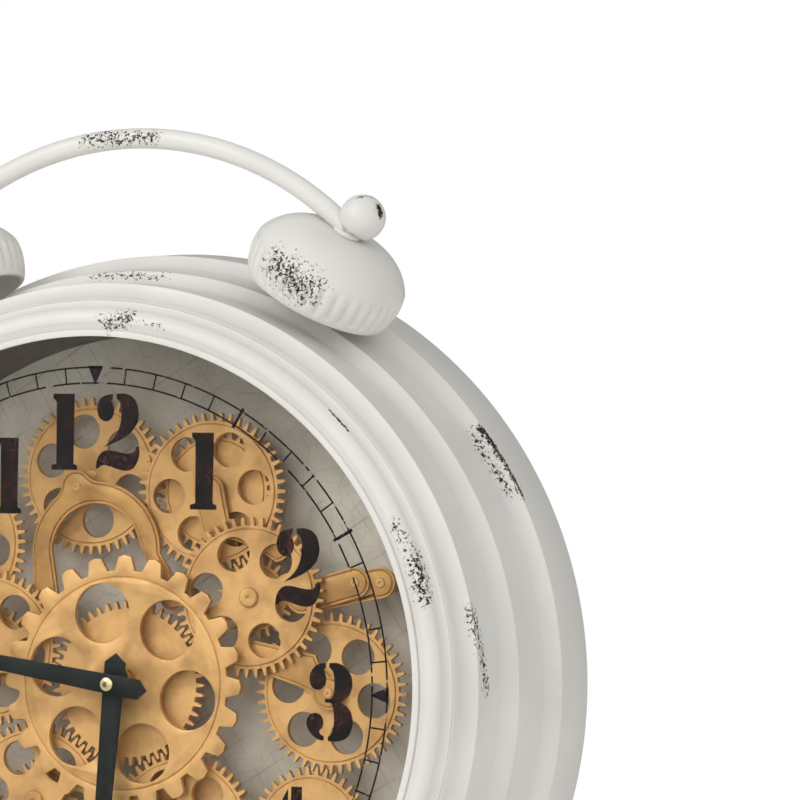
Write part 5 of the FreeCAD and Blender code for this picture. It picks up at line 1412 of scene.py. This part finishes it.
@dataclass
class PrintedGlass:
    """The numerals and the minute track, screened on the rear face of the glass."""

    height: float = 29.4
    gap: float = 6.5
    film: float = 0.05
    depth: float = 0.12
    inner: float = 116.0
    outer: float = 122.0
    line: float = 0.71
    minute_width: float = 0.66
    five_width: float = 1.25
    five_reach: float = 1.3
    wedge_reach: Point = (0.5, 0.6)
    wedge_width: float = 6.4
    wedge_tip: float = 0.4
    circle_sides: int = 240
    curve_steps: int = 6
    places: tuple = (
        ("12", 0.5, 97.2), ("1", 46.6, 82.9), ("2", 85.2, 47.1), ("3", 99.0, -3.1), ("4", 83.0, -50.0),
        ("5", 48.0, -84.0), ("6", 0.0, -97.0), ("7", -48.0, -84.0), ("8", -84.0, -50.0), ("9", -99.0, -3.1),
        ("10", -85.0, 47.1), ("11", -44.5, 80.0),
    )

    def glyph(self, digit: str) -> tuple[float, Sequence[Sequence[tuple]]]:
        """A digit's width in millimetres and the points of its strokes; nine is six turned round."""
        width, strokes = GLYPHS["6" if digit == "9" else digit]
        if digit == "9":
            strokes = [[(width - x, 100.0 - y, *corner) for x, y, *corner in stroke] for stroke in strokes]
        return width / 100 * self.height, strokes

    def stroke(self, curve: bpy.types.Curve, points: Sequence[tuple], shift: float) -> None:
        """Add one closed stroke of a digit to a flat curve, moved across by a shift."""
        spline = curve.splines.new("BEZIER")
        spline.bezier_points.add(len(points) - 1)
        spline.use_cyclic_u = True
        for handle, (x, y, *corner) in zip(spline.bezier_points, points):
            handle.co = ((x / 100 * self.height + shift) * MM, (y / 100 - 0.5) * self.height * MM, 0.0)
            handle.handle_left_type = handle.handle_right_type = "VECTOR" if corner else "AUTO"

    def numerals(self) -> Piece:
        """All twelve numerals as one thin film."""
        made = []
        for text, x, z in self.places:
            curve = bpy.data.curves.new(f"numeral_{text}", "CURVE")
            curve.dimensions = "2D"
            curve.fill_mode = "BOTH"
            curve.resolution_u = self.curve_steps
            glyphs = [self.glyph(digit) for digit in text]
            gap = self.gap if len(text) > 1 else 0.0
            left = -(sum(width for width, _ in glyphs) + gap * (len(text) - 1)) / 2
            for width, strokes in glyphs:
                for points in strokes:
                    self.stroke(curve, points, left)
                left += width + gap
            numeral = stood(curve.name, curve)
            take(numeral)
            bpy.ops.object.convert(target="MESH")
            turn = Matrix.Rotation(math.pi / 2, 4, "X")
            numeral.data.transform(Matrix.Translation(dial(x, self.depth, z)) @ turn)
            made.append(numeral)
        return self.thicken(merged("printed_numerals", made))

    def thicken(self, film: Piece) -> Piece:
        """Give a flat print its film thickness, backwards from the glass."""
        with editing(film):
            bpy.ops.mesh.remove_doubles(threshold=MERGE)
            bpy.ops.mesh.extrude_region_move(TRANSFORM_OT_translate={"value": (0, self.film * MM, 0)})
            face_outwards()
        return film

    def bar(self, bearing: float, inner: float, outer: float, width: float, tip: float) -> Piece:
        """A radial bar of the track.

        Args:
            bearing: Degrees clockwise from twelve.
            inner: Radius of its inner end, in millimetres.
            outer: Radius of its outer end.
            width: Its width at the outer end.
            tip: Its width at the inner end.

        Returns:
            The flat mesh object.
        """
        fresh()
        bpy.ops.mesh.primitive_plane_add(size=1.0)
        bar = named("bar")
        for vertex in bar.data.vertices:
            reach, across = (outer, width) if vertex.co.y > 0 else (inner, tip)
            vertex.co = (math.copysign(across / 2, vertex.co.x) * MM, self.depth * MM, reach * MM)
        turn = Matrix.Rotation(math.radians(bearing), 4, "Y")
        bar.data.transform(Matrix.Translation(dial(0, 0, 0)) @ turn)
        return bar

    def track(self) -> Piece:
        """The two circles, the minute marks, the five-minute bars and the quarter wedges."""
        minute = (self.inner, self.outer, self.minute_width, self.minute_width)
        five = (self.inner - self.five_reach, self.outer + self.five_reach, self.five_width, self.five_width)
        near, far = self.wedge_reach
        wedge = (self.inner - near, self.outer + far, self.wedge_width, self.wedge_tip)
        marks = [self.bar(count * 6.0, *(minute if count % 5 else five if count % 15 else wedge))
                 for count in range(60)]
        for radius in (self.inner, self.outer):
            near, far = radius - self.line / 2, radius + self.line / 2
            fresh()
            bpy.ops.mesh.primitive_circle_add(vertices=self.circle_sides, radius=near * MM, fill_type="NOTHING")
            circle = named("circle")
            with editing(circle):
                bpy.ops.mesh.extrude_region_move()
                bpy.ops.transform.resize(value=(far / near, far / near, 1.0), center_override=(0, 0, 0))
            circle.data.transform(facing(0, self.depth, 0))
            marks.append(circle)
        return self.thicken(merged("printed_minute_track", marks))

    def build(self) -> None:
        """Print the glass and dress the pane."""
        settle(dress(self.numerals(), INK), "case")
        settle(dress(self.track(), LINE_INK), "case")
        dress(frame["nodes"]["front_glass"], PANE)


@dataclass
class HandWork:
    """The two black hands and the ball nut that holds them."""

    rounding: float = 0.18
    nut_profile: tuple = ((0.0, 18.6), (1.9, 18.6, 2.6), (2.6, 16.0, 2.6), (0.0, 13.4))

    def build(self) -> None:
        """Round the hands' edges and turn the nut."""
        for node, body in (("hour_hand", "hour_work"), ("minute_hand", "minute_work")):
            settle(dress(refined(node, self.rounding), BLACK), body, [node])
        profile = traced(self.nut_profile, 0.4)[::-1]
        nut = softened(lathed("ball_nut", profile, facing(), 40), 0.1, 2, TURNED_CREASE)
        settle(dress(nut, NUT), "minute_work", ["hand_nut"])


# Back, base and small parts


@dataclass
class SmallParts:
    """Everything that keeps its CAD shape and gets softer edges and its own finish."""

    softened_nodes: tuple = (
        ("front_legs", "case", Slot.PAINT, 0.5), ("rear_leg", "case", Slot.PAINT, 0.5),
        ("foot_pads", "case", Slot.RUBBER, 0.4), ("back_cover", "case", Slot.BACK, 0.25),
        ("battery_lid", "lid", Slot.PLASTIC, 0.35), ("setting_knob", "knob", Slot.PLASTIC, 0.5),
        ("movement_case", "case", Slot.PLASTIC, 0.5), ("back_screws", "case", Slot.STEEL, 0.35),
        ("switch_slider", "slider", Slot.PLASTIC, 0.25), ("movement_nut", "case", Slot.BRASS, 0.25),
        ("centre_sleeve", "case", Slot.BRASS, 0.25), ("bell_posts", "case", Slot.PAINT, 0.3),
    )

    def build(self) -> None:
        """Soften the visible ones and dress the nodes that stay."""
        for node, body, slot, width in self.softened_nodes:
            settle(dress(refined(node, width), FINISHES[slot]), body, [node])
        for entry in frame["record"]["subparts"]:
            dress(frame["nodes"][entry["node"]], FINISHES[Slot(entry["material_slot"])])


# Studio


@dataclass
class Studio:
    """The floor, the lamps, the world and the camera at the photograph's angle.

    The world is white to the camera and through the glass, dimmer where it lights, and dimmest in gloss.
    """

    focal: float = 202.5
    sensor: float = 36.0
    clip: Point = (0.05, 50.0)
    azimuth: float = 20.48
    elevation: float = -1.5144
    roll: float = 1.1098
    distance: float = 1724.1
    shift_right: float = 118.99
    shift_up: float = 109.40
    floor_size: float = 12.0
    world_light: float = 0.62
    world_gloss: float = 0.12
    lamps: tuple = (
        ("key", (-0.9, -1.6, 1.5), 1.2, 16.0), ("fill", (1.4, -1.2, 0.7), 1.4, 4.0),
        ("front", (0.3, -2.4, 0.9), 1.0, 5.0),
    )

    def camera(self) -> None:
        """Stand the camera at its distance from a point beside the hand axis."""
        turn, tilt, roll = (math.radians(angle) for angle in (self.azimuth, self.elevation, self.roll))
        back = Vector((math.sin(turn) * math.cos(tilt), -math.cos(turn) * math.cos(tilt), math.sin(tilt)))
        level = Vector((math.cos(turn), math.sin(turn), 0.0))
        upright = back.cross(level)
        right = level * math.cos(roll) + upright * math.sin(roll)
        up = upright * math.cos(roll) - level * math.sin(roll)
        place = dial(0, 0, 0) + (right * self.shift_right + up * self.shift_up + back * self.distance) * MM
        data = bpy.data.cameras.new("camera")
        data.lens = self.focal
        data.sensor_width = self.sensor
        data.clip_start, data.clip_end = self.clip
        camera = stood("camera", data)
        camera.matrix_world = Matrix.Translation(place) @ Matrix((right, up, back)).transposed().to_4x4()
        bpy.context.scene.camera = camera

    def lamp(self, name: str, place: Sequence[float], size: float, power: float) -> None:
        """A soft area lamp that looks at the middle of the clock."""
        data = bpy.data.lights.new(name, "AREA")
        data.size = size
        data.energy = power
        lamp = stood(name, data)
        lamp.location = place
        aim = Vector((0.0, 0.0, AXIS_HEIGHT * MM)) - Vector(place)
        lamp.rotation_euler = aim.to_track_quat("-Z", "Y").to_euler()

    def surround(self) -> None:
        """The pale floor and the white world."""
        fresh()
        bpy.ops.mesh.primitive_plane_add(size=self.floor_size)
        floor = dress(named("floor"), PAPER)
        world = bpy.data.worlds.new("white_studio")
        bpy.context.scene.world = world
        world.use_nodes = True
        world.node_tree.nodes.clear()
        recipe = Recipe(world.node_tree)
        rays = recipe.add("LightPath").node.outputs
        seen = recipe.add("Math", (rays["Is Camera Ray"], rays["Is Transmission Ray"]), operation="MAXIMUM")
        dim = recipe.add("MapRange", (rays["Is Glossy Ray"], 0.0, 1.0, self.world_light, self.world_gloss))
        power = recipe.add("Math", (seen, dim), operation="MAXIMUM")
        recipe.add("OutputWorld", {"Surface": recipe.add("Background", ("#FFFFFF", power))})

    def build(self) -> None:
        """Set up the studio."""
        self.surround()
        for lamp in self.lamps:
            self.lamp(*lamp)
        self.camera()
        bpy.context.scene.view_settings.view_transform = "Standard"


def main() -> None:
    """Build the clock piece by piece, then the studio."""
    logging.basicConfig(level=logging.INFO, format="%(message)s")
    for group in (SmallParts(), CaseWork(), BellWork(), GearTrain(), PrintedGlass(), HandWork(), Studio()):
        group.build()


if __name__ == "__main__":
    main()
